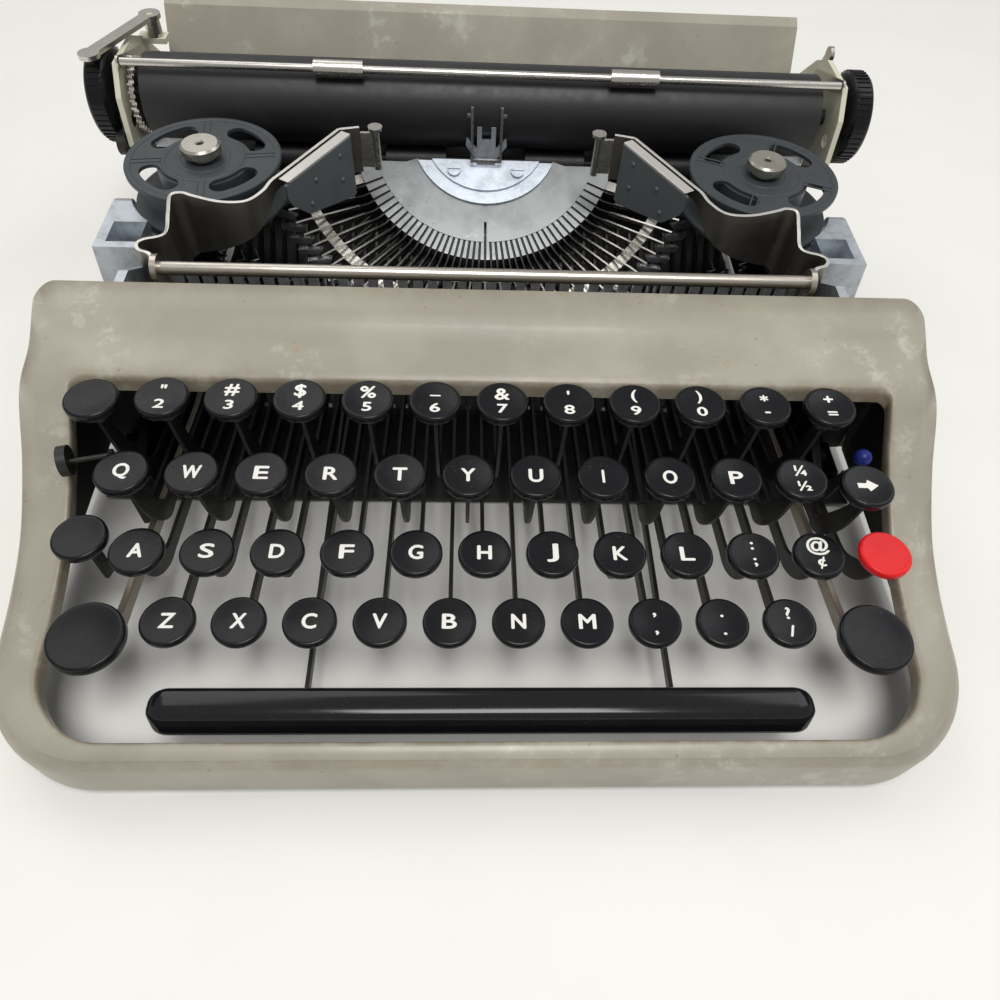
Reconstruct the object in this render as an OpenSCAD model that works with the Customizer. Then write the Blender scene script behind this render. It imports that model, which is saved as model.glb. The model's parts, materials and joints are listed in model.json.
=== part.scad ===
// Portable typewriter, ribbon cover off: case, keyboard, type basket, ribbon spools and carriage
// Frame: X to the right, Y to the back, Z up. Origin on the table under the middle of the machine.

/* [Case] */
// Width of the case
body_w = 272; // [268:1:280]
// Depth of the case, front rim to rear wall
body_d = 324; // [318:1:330]
// Thickness of the pressed sheet
sheet = 1.6; // [1.2:0.1:2]
// Height of the lower edge of the case above the table
case_bottom = 4; // [3.5:0.1:5]
// Height of the front rim
rim_front_z = 23; // [21:0.5:25]
// Height of the panel's lower edge, behind the number row
panel_low_z = 61.5; // [60:0.5:63]
// Height of the panel's crest
panel_top_z = 72; // [70:0.5:74]
// Depth of the key well, front to back
well_d = 92; // [90:0.5:92]
// Width of the key well
well_w = 240; // [238:1:242]
// Depth of the panel, lower edge to crest
panel_d = 32.5; // [30:0.5:36]
// Plan radius of the case's front corners
corner_r = 30; // [24:1:34]
// Plan radius of the key well's front corners
well_r = 20; // [14:1:24]
// Height of the low rear skirt
skirt_z = 28; // [24:1:30]
// Height of the rear deck
deck_z = 44; // [42:0.5:45]
// Height of the rubber feet
foot_h = 6; // [5:0.5:7]

/* [Keyboard] */
// Key pitch across a row
key_pitch = 19.05; // [18.6:0.05:19.2]
// Radius of a key top
key_r = 7.4; // [6.8:0.1:7.6]
// Radius of a shift key
shift_r = 10; // [9:0.25:10.5]
// Thickness of a key top
key_t = 4.4; // [3.6:0.1:5]
// Thickness of a key lever
lever_t = 1.2; // [1:0.1:1.4]
// Height of a key lever
lever_h = 5.2; // [4.4:0.2:5.6]
// Height of the key fulcrum above the table
fulcrum_z = 12; // [11.5:0.1:12.5]
// Radius of the key fulcrum shaft
fulcrum_r = 1.6; // [1.4:0.1:1.8]
// Length of the space bar
space_len = 180; // [168:1:184]

/* [Type basket] */
// Radius of the pivot circle of the type bars
pivot_r = 41; // [40:0.25:42]
// Outer radius of the segment
seg_r = 52; // [51:0.25:53]
// Inner radius of the segment plate
seg_bore_r = 16; // [14:0.5:18]
// Thickness of the segment
seg_t = 6; // [5:0.5:7]
// Height of the print point over the segment plane
strike_h = 22; // [21:0.1:23]
// Slope of the segment plane, in degrees
seg_tilt = 27; // [26:0.25:28]
// Angle of a resting type bar over the segment plane, in degrees
rest_angle = 17; // [16:0.5:18]
// Half of the fan of type bars, in degrees
fan_half = 66; // [60:1:68]
// Width of a segment slot
slot_w = 1; // [0.9:0.05:1.1]
// Length of a type slug
slug_len = 9; // [8:0.25:9]

/* [Ribbon] */
// Radius of a ribbon spool
spool_r = 26.5; // [25:0.25:27]
// Overall height of a spool
spool_h = 14.5; // [13.5:0.25:15]
// Distance of the spool centres from the middle
spool_x = 99; // [98:0.5:100]

/* [Carriage] */
// Radius of the platen
platen_r = 15; // [14.5:0.1:15.2]
// Bare shaft between the platen's rubber and the outer face of a carriage end
platen_side = 8.5; // [6.5:0.25:12]
// Radius of the platen knobs
knob_r = 17; // [15:0.25:17.5]
// Overall width across the platen knobs
knob_span = 298; // [296:0.5:300]
// Reach of a platen knob beyond the outer face of the carriage end
knob_reach = 11.5; // [11:0.25:12.5]

/* [Hidden] */
eps = 0.01;
$fn = 48;

// Finishes
shell_paint = [0.62, 0.61, 0.56];
key_black = [0.06, 0.06, 0.07];
key_red = [0.85, 0.06, 0.08];
lever_black = [0.12, 0.12, 0.12];
bright_steel = [0.72, 0.72, 0.70];
cast_grey = [0.62, 0.65, 0.68];
guard_grey = [0.30, 0.31, 0.31];
segment_grey = [0.55, 0.57, 0.57];
spool_grey = [0.24, 0.26, 0.27];
cream = [0.80, 0.80, 0.72];
rubber = [0.07, 0.07, 0.07];
brass = [0.75, 0.65, 0.42];

// Case places
hw = body_w / 2;
front_y = -162;
rear_y = front_y + body_d;
back_r = 6;
well_y0 = front_y + 6.5;
well_y1 = well_y0 + well_d;
crest_y = well_y1 + panel_d;
run_gap = 0.05;
body_gap = 0.35;

// Keyboard places: rows from the number row to the bottom row
row_y = [-71.6, -90.5, -108.7, -125.5];
row_z = [63.3, 53.5, 41.8, 33];
row_shift = [0.5, 0, 0.25, 0.75];
row_count = [11, 11, 11, 10];
lever_pitch = key_pitch / 4;
bank_x0 = -5.325 * key_pitch;
function lever_x(k) = bank_x0 + lever_pitch * k;
function key_x(row, i) = lever_x(4 * (row_shift[row] + i));
space_k = [10.5, 32.5];
h_row = 2;
h_index = 5;
fulcrum_y = 20;
bend_y = -28;
comb_y = -19.5;
shift_x = 106;
shift_arm_x = 103.8;
shift_y = -131.5;
shift_z = 36;
lock_pos = [-112.2, -105.5, 43.5];
release_x = bank_x0 - key_pitch / 2;
back_pos = [106.3, -94.3, 55.5];
tab_pos = [112.4, -109, 43];
frame_in = 113.5;
frame_t = 3;

// Type basket: the segment's frame has its origin at the centre of the pivot circle
seg_c = [0, 79, 55];
bars = 43;
type_angle = seg_tilt;
bar_rise = atan(strike_h / pivot_r);
swing = 180 - bar_rise - rest_angle;
bar_len = sqrt(pivot_r * pivot_r + strike_h * strike_h);
fan_a = 2.6;
fan_b = (fan_half - fan_a * (bars - 1) / 2) / pow((bars - 1) / 2, 3);
function fan(i) = fan_a * i + fan_b * i * i * i;
strike_y = seg_c[1] - strike_h * sin(seg_tilt);
strike_z = seg_c[2] + strike_h * cos(seg_tilt);
slug_t = 2;
pivot_n = 0.4;
pivot_wire_r = 0.8;
strike_gap = 0.4;
reach = strike_gap + platen_r;
platen_y = strike_y + reach * cos(type_angle);
platen_z = strike_z - reach * sin(type_angle);
rear_cut = 11;
slot_in = 5;

// Ribbon places
spool_y = 33;
spool_top = 72;
cup_z = spool_top - spool_h - 2.6;

// Carriage places
end_x = knob_span / 2 - knob_reach;
platen_len = 2 * (end_x - platen_side);
end_t = 2;
end_in = end_x - end_t;
low_z = platen_z - 24.5;
rail_y0 = platen_y + 8.7;
rail_w = 10;
rail_top = low_z + 7;
frame_top = rail_top - 7;
shaft_r = 3;
rack_pitch = 2.54;
pinion_n = 20;
pinion_r = pinion_n * rack_pitch / 360 * 180 / PI;
drum_r = 15;

// A cubic through the case's side profile: height of the crest at a distance along Y
side_pts = [[front_y - 10, rim_front_z - 1], [front_y, rim_front_z],
    [well_y0 + 0.25 * well_d, rim_front_z + 4.5], [well_y0 + 0.46 * well_d, rim_front_z + 8.5],
    [well_y0 + 0.64 * well_d, rim_front_z + 14.5],
    [well_y0 + 0.83 * well_d, rim_front_z + 0.67 * (panel_low_z - rim_front_z)],
    [well_y1, panel_low_z], [well_y1 + 0.45 * panel_d, panel_low_z + 0.38 * (panel_top_z - panel_low_z)],
    [well_y1 + 0.82 * panel_d, panel_top_z - 0.6], [crest_y, panel_top_z], [crest_y + 20, panel_top_z]];
function seg_of(y, i = 1) = i >= len(side_pts) - 3 || y <= side_pts[i + 1][0] ? i : seg_of(y, i + 1);
function slope_at(i) = (side_pts[i + 1][1] - side_pts[i - 1][1]) / (side_pts[i + 1][0] - side_pts[i - 1][0]);
function hermite(a, b, sa, sb, w,
        t) = (2 * t * t * t - 3 * t * t + 1) * a + (t * t * t - 2 * t * t + t) * w * sa
    + (3 * t * t - 2 * t * t * t) * b + (t * t * t - t * t) * w * sb;
function crest_z(y) = let (i = seg_of(y), a = side_pts[i], b = side_pts[i + 1], w = b[0] - a[0])
    hermite(a[1], b[1], slope_at(i), slope_at(i + 1), w, (y - a[0]) / w);

// Points round a rectangle with round corners, from the middle of the back edge, by the left side
function steps(a, b, n) = [for (i = [0:n - 1]) a + (b - a) * i / n];
function arc(c, r, a0, a1, n) = [for (i = [0:n - 1]) c + r * [cos(a0 + (a1 - a0) * i / n),
        sin(a0 + (a1 - a0) * i / n)]];
function loop_pts(w, y0, y1, rf, rb, nb, ns, nc) = concat(
    steps([0, y1], [rb - w, y1], nb), arc([rb - w, y1 - rb], rb, 90, 180, nc),
    steps([-w, y1 - rb], [-w, y0 + rf], ns), arc([rf - w, y0 + rf], rf, 180, 270, nc),
    steps([rf - w, y0], [w - rf, y0], nb), arc([w - rf, y0 + rf], rf, 270, 360, nc),
    steps([w, y0 + rf], [w, y1 - rb], ns), arc([w - rb, y1 - rb], rb, 0, 90, nc),
    steps([w - rb, y1], [0, y1], nb));

// Section of the case at one station, from the inner edge p over the rim to the outer edge q
lip = 5;
edge_r = 1.2;
function drop(r, d) = d >= r ? 0 : r - sqrt(r * r - (r - d) * (r - d));
function skin(p, q, r, zb, off) = let (l = norm(q - p), u = (q - p) / l, rr = r - off)
    concat(
        [[each (p + u * off), crest_z(p[1]) - lip]],
        [[each (p + u * off), crest_z(p[1]) - edge_r - off * 0.7]],
        [for (s = [0.12, 0.35, 0.6]) let (m = p + (q - p) * s + u * off * (1 - 2 * s)) [m[0], m[1],
            crest_z(m[1]) - off - drop(r, l * (1 - s))]],
        [for (a = [35, 55, 75, 90]) let (m = q - u * (r - rr * sin(a))) [m[0], m[1],
            crest_z(q[1]) - r + rr * cos(a)]],
        [[each (q - u * off), zb]]);
function back_share(q) = q[1] >= crest_y - eps ? 1 : q[1] < crest_y - back_r ? 0
    : let (t = (q[1] - crest_y + back_r) / back_r) t * t;
function station(p, q) = let (l = norm(q - p), r = min(10, l * 0.8), f = back_share(q),
        zb = case_bottom + f * (panel_top_z - 14 - case_bottom), ro = r * (1 - f) + 5 * f)
    concat(skin(p, q, ro, zb, 0), [for (i = [0:9]) skin(p, q, ro, zb, sheet)[9 - i]]);

module ring_solid(sections) {
    n = len(sections);
    m = len(sections[0]);
    polyhedron(points = [for (s = sections) each s],
        faces = [for (i = [0:n - 1], j = [0:m - 1]) let (a = i * m + j, b = i * m + (j + 1) % m,
            c = ((i + 1) % n) * m + (j + 1) % m, d = ((i + 1) % n) * m + j) each [[a, b, c], [a, c, d]]],
        convexity = 8);
}

// A shape drawn in the Y-Z plane, made x1 - x0 wide
module yz(x0, x1) {
    translate([x0, 0, 0]) rotate([90, 0, 90]) linear_extrude(x1 - x0) children();
}

module xrod(x0, x1, y, z, r) {
    translate([x0, y, z]) rotate([0, 90, 0]) cylinder(h = x1 - x0, r = r);
}

module yrod(y0, y1, x, z, r) {
    translate([x, y0, z]) rotate([-90, 0, 0]) cylinder(h = y1 - y0, r = r);
}

// The same thing on the other side of the middle
module other_side() {
    mirror([1, 0, 0]) children();
}

// Case

module body_shell() {
    inner = loop_pts(well_w / 2, well_y0, well_y1, well_r, 3, 4, 14, 6);
    outer = loop_pts(hw, front_y, crest_y, corner_r, back_r, 4, 14, 6);
    color(shell_paint) ring_solid([for (i = [0:len(inner) - 1]) station(inner[i], outer[i])]);
}

housing_y0 = crest_y - back_r;
deck_y = platen_y + 35.3;
housing_r = 26;

module housing_plan(off) {
    y0 = housing_y0 - (off > 0 ? 5 : 0);
    translate([0, (y0 + rear_y) / 2]) {
        difference() {
            square([body_w - 2 * off, rear_y - y0 - off * 2], center = true);
            for (s = [-1, 1])
                translate([s * (hw - housing_r), (rear_y - y0) / 2 - housing_r])
                    difference() {
                        translate([s > 0 ? 0 : -housing_r - 1, 0]) square(housing_r + 1);
                        circle(housing_r - off);
                    }
        }
    }
}

function case_foot(t) = case_bottom + t * t * (panel_top_z - 14 - case_bottom);

module housing_side(off) {
    polygon(concat([[rear_y + 1, case_bottom - (off > 0 ? 1 : 0)], [rear_y + 1, deck_z - 5 - off],
        [rear_y - 10, deck_z - off], [off > 0 ? deck_y + 4 : deck_y, deck_z - off],
        [off > 0 ? deck_y + 4 : deck_y, off > 0 ? deck_z + 9 : skirt_z]],
        off > 0 ? [[housing_y0 - 9, deck_z + 9], [housing_y0 - 9, case_bottom - 1]]
        : [for (i = [8:-1:0]) [housing_y0 + back_r * i / 8,
                max(case_bottom, min(skirt_z, case_foot(i / 8) - 0.3))]]));
}

module rear_housing() {
    color(shell_paint) difference() {
        intersection() {
            linear_extrude(deck_z + 9) housing_plan(0);
            yz(-hw - 1, hw + 1) housing_side(0);
        }
        intersection() {
            translate([0, 0, -1]) linear_extrude(deck_z + 9) housing_plan(sheet);
            yz(-hw - 1, hw + 1) housing_side(sheet);
        }
    }
}

foot_x = hw - 14;
foot_y = [-46, rear_y - 34];

module rubber_feet() {
    color(rubber) for (x = [-foot_x, foot_x], y = foot_y)
        translate([x, y, 0]) rotate_extrude()
            polygon([[0, 0], [7, 0], [8, 1], [6.5, foot_h], [0, foot_h]]);
}

// Cast side frames: a plate with the lug that the ribbon cover hooks onto

lug_y0 = -8;
lug_y1 = 23;
lug_x = 131;
lug_z = 61;

module frame_side() {
    polygon([[-60, foot_h], [rear_y - 17, foot_h], [rear_y - 17, deck_z - 12], [deck_y + 2, deck_z - 4],
            [deck_y, frame_top],
        [62, frame_top], [50, cup_z - 0.3], [-4, cup_z - 0.3], [-20, lug_z + 4], [-27, lug_z + 4],
                [-36, 30], [-60, 18]]);
}

module side_frame() {
    color(cast_grey) difference() {
        union() {
            yz(-frame_in - frame_t, -frame_in) frame_side();
            yz(-lug_x, -frame_in - frame_t + eps) polygon([[lug_y0, 34], [lug_y0 + 5, lug_z], [lug_y1, lug_z],
                [lug_y1, lug_z - 14], [lug_y0 + 14, 34]]);
            xrod(-lug_x, -frame_in, lug_y1 - 1, lug_z - 8, 8);
            for (y = foot_y) translate([-foot_x - 6, y - 7, foot_h]) cube([foot_x + 6 - frame_in, 14, 2.5]);
        }
        translate([-spool_x, spool_y, cup_z - 0.3]) cylinder(h = 30, r = spool_r + 1);
        translate([-lug_x + 3.5, lug_y0 + 8, lug_z - 11]) cube([11, 11, 20]);
        xrod(-lug_x - 1, -frame_in + 1, lug_y1 - 1, lug_z - 8, 5.2);
        yz(-lug_x - 1, -frame_in - frame_t - 2) polygon([[lug_y0 - 1, 33], [lug_y0 + 1.5, 46],
            [lug_y0 + 12, 46], [lug_y0 + 12, 33]]);
        xrod(-frame_in - frame_t - 1, -frame_in + 1, fulcrum_y, fulcrum_z, fulcrum_r);
        for (y = [70, 110]) yz(-frame_in - frame_t - 1, -frame_in + 1)
            translate([y, 24]) circle(9);
    }
    color(cast_grey) xrod(-lug_x + 3, -frame_in - 2, lug_y0 + 13, lug_z - 9, 4.5);
}

module side_frame_left() {
    side_frame();
}

module side_frame_right() {
    other_side() side_frame();
}

rear_rail_y = platen_y + 33;

module rear_cross_rail() {
    color(lever_black) difference() {
        union() {
            translate([-frame_in, rear_rail_y, foot_h + 2]) cube([2 * frame_in, 2, 31]);
            translate([-frame_in, rear_rail_y, foot_h + 2]) cube([2 * frame_in, 19, 2]);
        }
        yrod(rear_rail_y - 1, rear_rail_y + 3, 0, pinion_z, 2 + run_gap);
        yrod(rear_rail_y - 1, rear_rail_y + 3, drum_x, drum_z, 2 + run_gap);
        for (x = [-35, 35]) translate([x - 12, rear_rail_y - 1, 16]) cube([24, 4, 12]);
    }
}

comb_top = 65.5;
comb_t = 1.8;

module comb_slot(x0, x1) {
    translate([x0, comb_y - comb_t, 3.8]) cube([x1 - x0, 2 * comb_t, comb_top]);
}

module key_guide_comb() {
    half = rod_half - 2.8;
    color(cast_grey) difference() {
        union() {
            translate([-frame_in, comb_y - comb_t / 2, 1.8]) cube([2 * frame_in, comb_t, 46]);
            translate([-half, comb_y - comb_t / 2, 1.8]) cube([2 * half, comb_t, comb_top - 1.8]);
        }
        for (k = [0:bars - 1]) comb_slot(lever_x(k) - 0.9, lever_x(k) + 0.9);
        for (k = space_k) comb_slot(lever_x(k) - 0.9, lever_x(k) + 0.9);
        for (x = [-1, 1]) comb_slot(x * shift_arm_x - 1.4, x * shift_arm_x + 1.4);
        for (i = [0, 1]) comb_slot(side_lever_x[i] - 0.9, side_lever_x[i] + 0.9);
        comb_slot(side_lever_x[2] - 0.9, side_lever_x[3] + 0.9);
    }
}

module key_fulcrum_shaft() {
    color(bright_steel) xrod(-frame_in - frame_t, frame_in + frame_t, fulcrum_y, fulcrum_z, fulcrum_r);
}

rod_y = -23.5;
rod_z = 69;
rod_r = 2.1;
rod_half = frame_in - 9.5;

module cover_rod() {
    color(bright_steel) {
        xrod(-rod_half, rod_half, rod_y, rod_z, rod_r);
        for (s = [-1, 1]) {
            yz(s * (rod_half - 1.5) - 0.9, s * (rod_half - 1.5) + 0.9) difference() {
                union() {
                    translate([rod_y, rod_z]) circle(4.2);
                    translate([rod_y - 3, lug_z - 10]) square([7.2, rod_z - lug_z + 10]);
                }
                translate([rod_y, rod_z]) circle(rod_r - 0.3);
            }
            xrod(min(s * rod_half, s * frame_in), max(s * rod_half, s * frame_in), rod_y, lug_z - 2, 2.4);
        }
    }
}

// Guards round the type basket: one bent sheet each side, from the foot by the rod to the ribbon guide
guard_path = [[-105.5, -19.5], [-107, -15.5], [-112.3, -13], [-112.3, -7.8], [-104.3, -6], [-102, 4.2],
        [-95, 2.8],
    [-86, 0], [-78, 0.8], [-73.6, 6.5], [-71.7, 12.5], [-53, 45.5], [-46, 47.3]];
guard_t = 1.2;
guard_top = 77;
guard_foot_top = 68;
guard_low = [52, 52, 52, 52, 52, 56, 58, 61, 64, 68, 73, 60];
wall_from = 10;
function unit(v) = v / norm(v);
function left_of(v) = [-v[1], v[0]];
function path_dir(p, i) = unit(p[min(i + 1, len(p) - 1)] - p[max(min(i, len(p) - 2), 0)]);
function mitre(p, i, t) = let (a = left_of(path_dir(p, i - 1)), b = left_of(path_dir(p, i)),
        m = i == 0 ? b : unit(a + b))
    p[i] + m * t / (i == 0 ? 1 : m * b);

module basket_guard() {
    d = guard_path[wall_from + 1] - guard_path[wall_from];
    color(guard_grey) {
        for (i = [0:len(guard_path) - 2]) {
            low = guard_low[i];
            high = i < 4 ? guard_foot_top : i == 4 ? (guard_foot_top + guard_top) / 2 : guard_top;
            translate([0, 0, low]) linear_extrude(high - low)
                polygon([for (q = [[i, 1], [i + 1, 1], [i + 1, -1], [i, -1]])
                        mitre(guard_path, q[0], q[1] * guard_t / 2)]);
        }
        translate([guard_path[wall_from][0], guard_path[wall_from][1], 0]) rotate([0, 0, atan2(d[1], d[0])]) {
            translate([1, -5.2, guard_top - 1.3]) cube([norm(d) - 1.4, 5, 1]);
            translate([0, -4.2, 0]) rotate([90, 0, 0]) linear_extrude(1)
                polygon([[1, guard_top - 0.3], [1, 71], [norm(d) / 4, 60], [norm(d) - 0.4, 53],
                        [norm(d) - 0.4, guard_top - 0.3]]);
        }
        translate([-frame_in, -13.5, 56]) cube([3, 5, 1.6]);
    }
}

module basket_guard_left() {
    basket_guard();
}

module basket_guard_right() {
    other_side() basket_guard();
}

module spool_cup() {
    color(spool_grey) {
        translate([-spool_x, spool_y, cup_z]) difference() {
            union() {
                cylinder(h = 1.6, r = 24);
                cylinder(h = 2.3, r = 5);
                translate([-20, -5, -0.3]) cube([20, 10, 1.5]);
            }
            for (a = [45:90:315]) rotate([0, 0, a]) translate([14, 0, -1]) cylinder(h = 4, r = 4.5);
        }
        translate([-spool_x, spool_y, cup_z + 1]) cylinder(h = spool_h + 5, r = 2.5);
    }
}

module spool_cup_left() {
    spool_cup();
}

module spool_cup_right() {
    other_side() spool_cup();
}

guide_pos = [-46, 47.3];

module ribbon_guides() {
    color(bright_steel) for (s = [-1, 1]) scale([s, 1, 1]) {
        translate([guide_pos[0] + 0.2, guide_pos[1] - 0.6, 62]) cube([4.4, 1.2, 13]);
        translate([guide_pos[0] + 5.6, guide_pos[1] + 0.4, 61]) cylinder(h = 15, r = 1.4);
        translate([guide_pos[0] + 5.6, guide_pos[1] + 0.4, 76]) cylinder(h = 1, r = 2.6);
    }
}

module carriage_rail() {
    color(bright_steel) translate([-frame_in - frame_t, rail_y0, frame_top])
        cube([2 * (frame_in + frame_t), rail_w, rail_top - frame_top]);
}

pinion_z = low_z + 0.7 - 0.25 - pinion_r;
drum_x = -70;
drum_z = 27;

module mainspring_drum() {
    color(cast_grey) {
        difference() {
            yrod(rear_rail_y + 2.5, rear_rail_y + 12, drum_x, drum_z, drum_r);
            yrod(rear_rail_y + 5, rear_rail_y + 9, drum_x, drum_z, drum_r + 1);
            yrod(rear_rail_y + 2, rear_rail_y + 13, drum_x, drum_z, 1.9);
        }
        yrod(rear_rail_y + 4, rear_rail_y + 10, drum_x, drum_z, drum_r - 1.5);
        yrod(rear_rail_y - 1.5, rear_rail_y + 12, drum_x, drum_z, 2);
    }
}

module gear(n, ro, rr, w) {
    linear_extrude(w) polygon([for (i = [0:n - 1], q = [[-0.30, rr], [-0.12, ro], [0.12, ro], [0.30, rr]])
        let (a = 360 / n * (i + q[0]) + 90) q[1] * [cos(a), sin(a)]]);
}

module escapement_wheel() {
    color(brass) translate([0, rail_y0 + rail_w + 1.5, pinion_z]) rotate([90, 0, 0]) mirror([0, 0, 1]) {
        rotate([0, 0, 180 / pinion_n]) gear(pinion_n, pinion_r + 0.45, pinion_r - 0.95, 3);
        translate([0, 0, 6.5]) gear(pinion_n, 12, 9.5, 1.6);
        cylinder(h = rear_rail_y + 3 - rail_y0 - rail_w, r = 2);
    }
}

bell_x = 70;

module bell() {
    color(bright_steel) translate([bell_x, rear_rail_y + 2, 24]) rotate([-90, 0, 0]) {
        difference() {
            union() {
                translate([0, 0, 1]) cylinder(h = 5, r = 13);
                translate([0, 0, 6]) cylinder(h = 3.6, r1 = 13, r2 = 7);
            }
            cylinder(h = 5.6, r = 12);
            translate([0, 0, 5.4]) cylinder(h = 3.2, r1 = 12, r2 = 6.4);
        }
        cylinder(h = 10, r = 1.6);
    }
}

module screw_head(r, h) {
    difference() {
        cylinder(h = h, r = r);
        translate([-r, -0.3, h - 0.5]) cube([2 * r, 0.6, 1]);
    }
}

module fasteners() {
    color(bright_steel) for (s = [-1, 1]) {
        for (y = foot_y) translate([s * foot_x, y, foot_h + 2.5]) screw_head(3, 1.8);
        translate([s * (frame_in + 1.5), rail_y0 + rail_w / 2, rail_top]) screw_head(2.2, 0.2);
        for (p = [[-10, 50], [10, 24]])
            translate([s * (frame_in + frame_t), p[0], p[1]]) rotate([0, s * 90, 0]) screw_head(2.6, 1.6);
    }
}

// Carriage

frame_h = platen_z - platen_r - 0.4 - low_z - 0.7;

module carriage_frame() {
    color(cast_grey) {
        difference() {
            translate([-end_in, rail_y0 - 5.5, low_z + 0.7]) cube([2 * end_in, rail_w + 11, frame_h]);
            translate([-end_in - 1, rail_y0 - body_gap, low_z])
                    cube([2 * end_in + 2, rail_w + 2 * body_gap, 7 + body_gap]);
            for (i = [-52:51]) translate([(i + 0.5) * rack_pitch, rail_y0 + rail_w, low_z + 0.7])
                rotate([-90, 0, 0]) linear_extrude(7)
                    polygon([[-0.95, 1], [0.95, 1], [0.95, 0], [0.55, -1.7], [-0.55, -1.7], [-0.95, 0]]);
        }
    }
}

module end_side() {
    polygon([[platen_y - 18, platen_z - 11], [platen_y - 11.5, platen_z - 11], [platen_y - 11.5, low_z + 2],
        [platen_y + 3, low_z + 2], [platen_y + 3, rail_top + 0.5], [platen_y + 42, rail_top + 0.5],
        [platen_y + 42, platen_z - 5], [platen_y + 24, platen_z + 11], [platen_y + 14, platen_z + 15.5],
        [platen_y - 8, platen_z + 15.5], [platen_y - 15, platen_z + 6]]);
}

module carriage_end() {
    color(cream) yz(-end_x, -end_in) difference() {
        end_side();
        translate([platen_y, platen_z]) circle(shaft_r + run_gap);
        for (f = [front_feed, rear_feed]) translate(f) circle(feed_shaft_r + run_gap);
        translate(bail_pivot) circle(bail_pin_r + run_gap);
        translate(space_pin) circle(space_pin_r);
    }
}

space_pin = [platen_y - 10, platen_z - 4.5];
space_pin_r = 2.6;
bracket_y = platen_y + 25;
bracket_z = platen_z + 9;
lever_z = platen_z + knob_r + 0.5;

module carriage_end_left() {
    carriage_end();
    color(cream) {
        translate([-end_x, bracket_y - 3, bracket_z]) cube([end_t + 9, 6, 2]);
        translate([-end_in + 4.5, bracket_y, bracket_z + 1]) cylinder(h = lever_z - bracket_z, r = 1.5);
    }
}

module carriage_end_right() {
    other_side() carriage_end();
}

table_foot = [platen_y + 27.5, rail_top + 1.5];

module paper_table() {
    color(shell_paint) {
        yz(-end_in + 4, end_in - 4)
                polygon([[table_foot[0], table_foot[1]], [table_foot[0] + 1.4, table_foot[1]],
            [platen_y + 47, platen_z + 13.5], [platen_y + 50.5, platen_z + 15.5],
                    [platen_y + 49.5, platen_z + 16.4],
            [platen_y + 45.5, platen_z + 14.3]]);
        for (s = [-1, 1]) translate([s * 60 - 5, rail_y0 + rail_w + 5.5, low_z + 5])
            cube([10, table_foot[0] + 1.4 - rail_y0 - rail_w - 5.5, 5]);
    }
}

feed_r = 5;
feed_reach = platen_r + feed_r + 0.3;
front_feed = [platen_y - feed_reach * cos(70), platen_z - feed_reach * sin(70)];
rear_feed = [platen_y + feed_reach * cos(15), platen_z - feed_reach * sin(15)];

feed_shaft_r = 1.8;

module feed_roller_set(f) {
    color(bright_steel) xrod(-end_x + 0.4, end_x - 0.4, f[0], f[1], feed_shaft_r);
    color(rubber) for (x = [-80, -28, 28, 80]) xrod(x - 12, x + 12, f[0], f[1], feed_r);
}

module front_feed_rollers() {
    feed_roller_set(front_feed);
}

module rear_feed_rollers() {
    feed_roller_set(rear_feed);
}

rack_y = platen_y + 38;
rack_z = rail_top + 3;

module margin_rack() {
    color(bright_steel) difference() {
        translate([-end_in, rack_y, rack_z]) cube([2 * end_in, 2.4, 6]);
        for (i = [-44:43]) translate([i * rack_pitch + 0.6, rack_y - 1, rack_z + 4.8]) cube([1.3, 5, 3]);
    }
}

stop_x = 88;

module margin_stop() {
    color(bright_steel) translate([-stop_x, rack_y + 1.2, rack_z]) difference() {
        union() {
            translate([-4.5, -3.2, -1.8]) cube([9, 6.4, 9.6]);
            translate([-2, 3.2, 2]) cube([4, 4, 2.4]);
        }
        translate([-6, -1.2 - body_gap, -body_gap]) cube([12, 2.4 + 2 * body_gap, 6 + 2 * body_gap]);
    }
}

module margin_stop_left() {
    margin_stop();
}

module margin_stop_right() {
    other_side() margin_stop();
}

module platen() {
    color(rubber) xrod(-platen_len / 2, platen_len / 2, platen_y, platen_z, platen_r);
    color(bright_steel) xrod(-knob_span / 2 + 6, knob_span / 2 - 6, platen_y, platen_z, shaft_r);
}

module platen_knob() {
    color(key_black) translate([-knob_span / 2, platen_y, platen_z]) rotate([0, 90, 0]) difference() {
        union() {
            rotate_extrude() polygon([[shaft_r, 0], [knob_r - 2.5, 0], [knob_r - 0.6, 0.8], [knob_r, 2.4],
                [knob_r, 7], [knob_r - 2, 8.4], [7, 8.8], [7, 10.6], [shaft_r, 10.6]]);
            cylinder(h = 5.6, r = shaft_r + eps);
        }
        for (i = [0:35]) rotate([0, 0, i * 10]) translate([knob_r + 0.35, 0, 2.2])
                cylinder(h = 4.8, r = 0.8, $fn = 16);
    }
}

module platen_knob_left() {
    platen_knob();
}

module platen_knob_right() {
    other_side() platen_knob();
}

module platen_ratchet() {
    color(bright_steel) translate([-end_in + 1.6, platen_y, platen_z]) rotate([90, 0, 90]) difference() {
        gear(30, 13.2, 11.8, 2);
        translate([0, 0, -1]) cylinder(h = 4, r = shaft_r);
    }
}

bail_pivot = [platen_y + 17, platen_z + 8];
bail_rod = [platen_y - 8.7, platen_z + 16.4];
bail_roller_r = 3;
bail_pin_r = 1.5;

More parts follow.
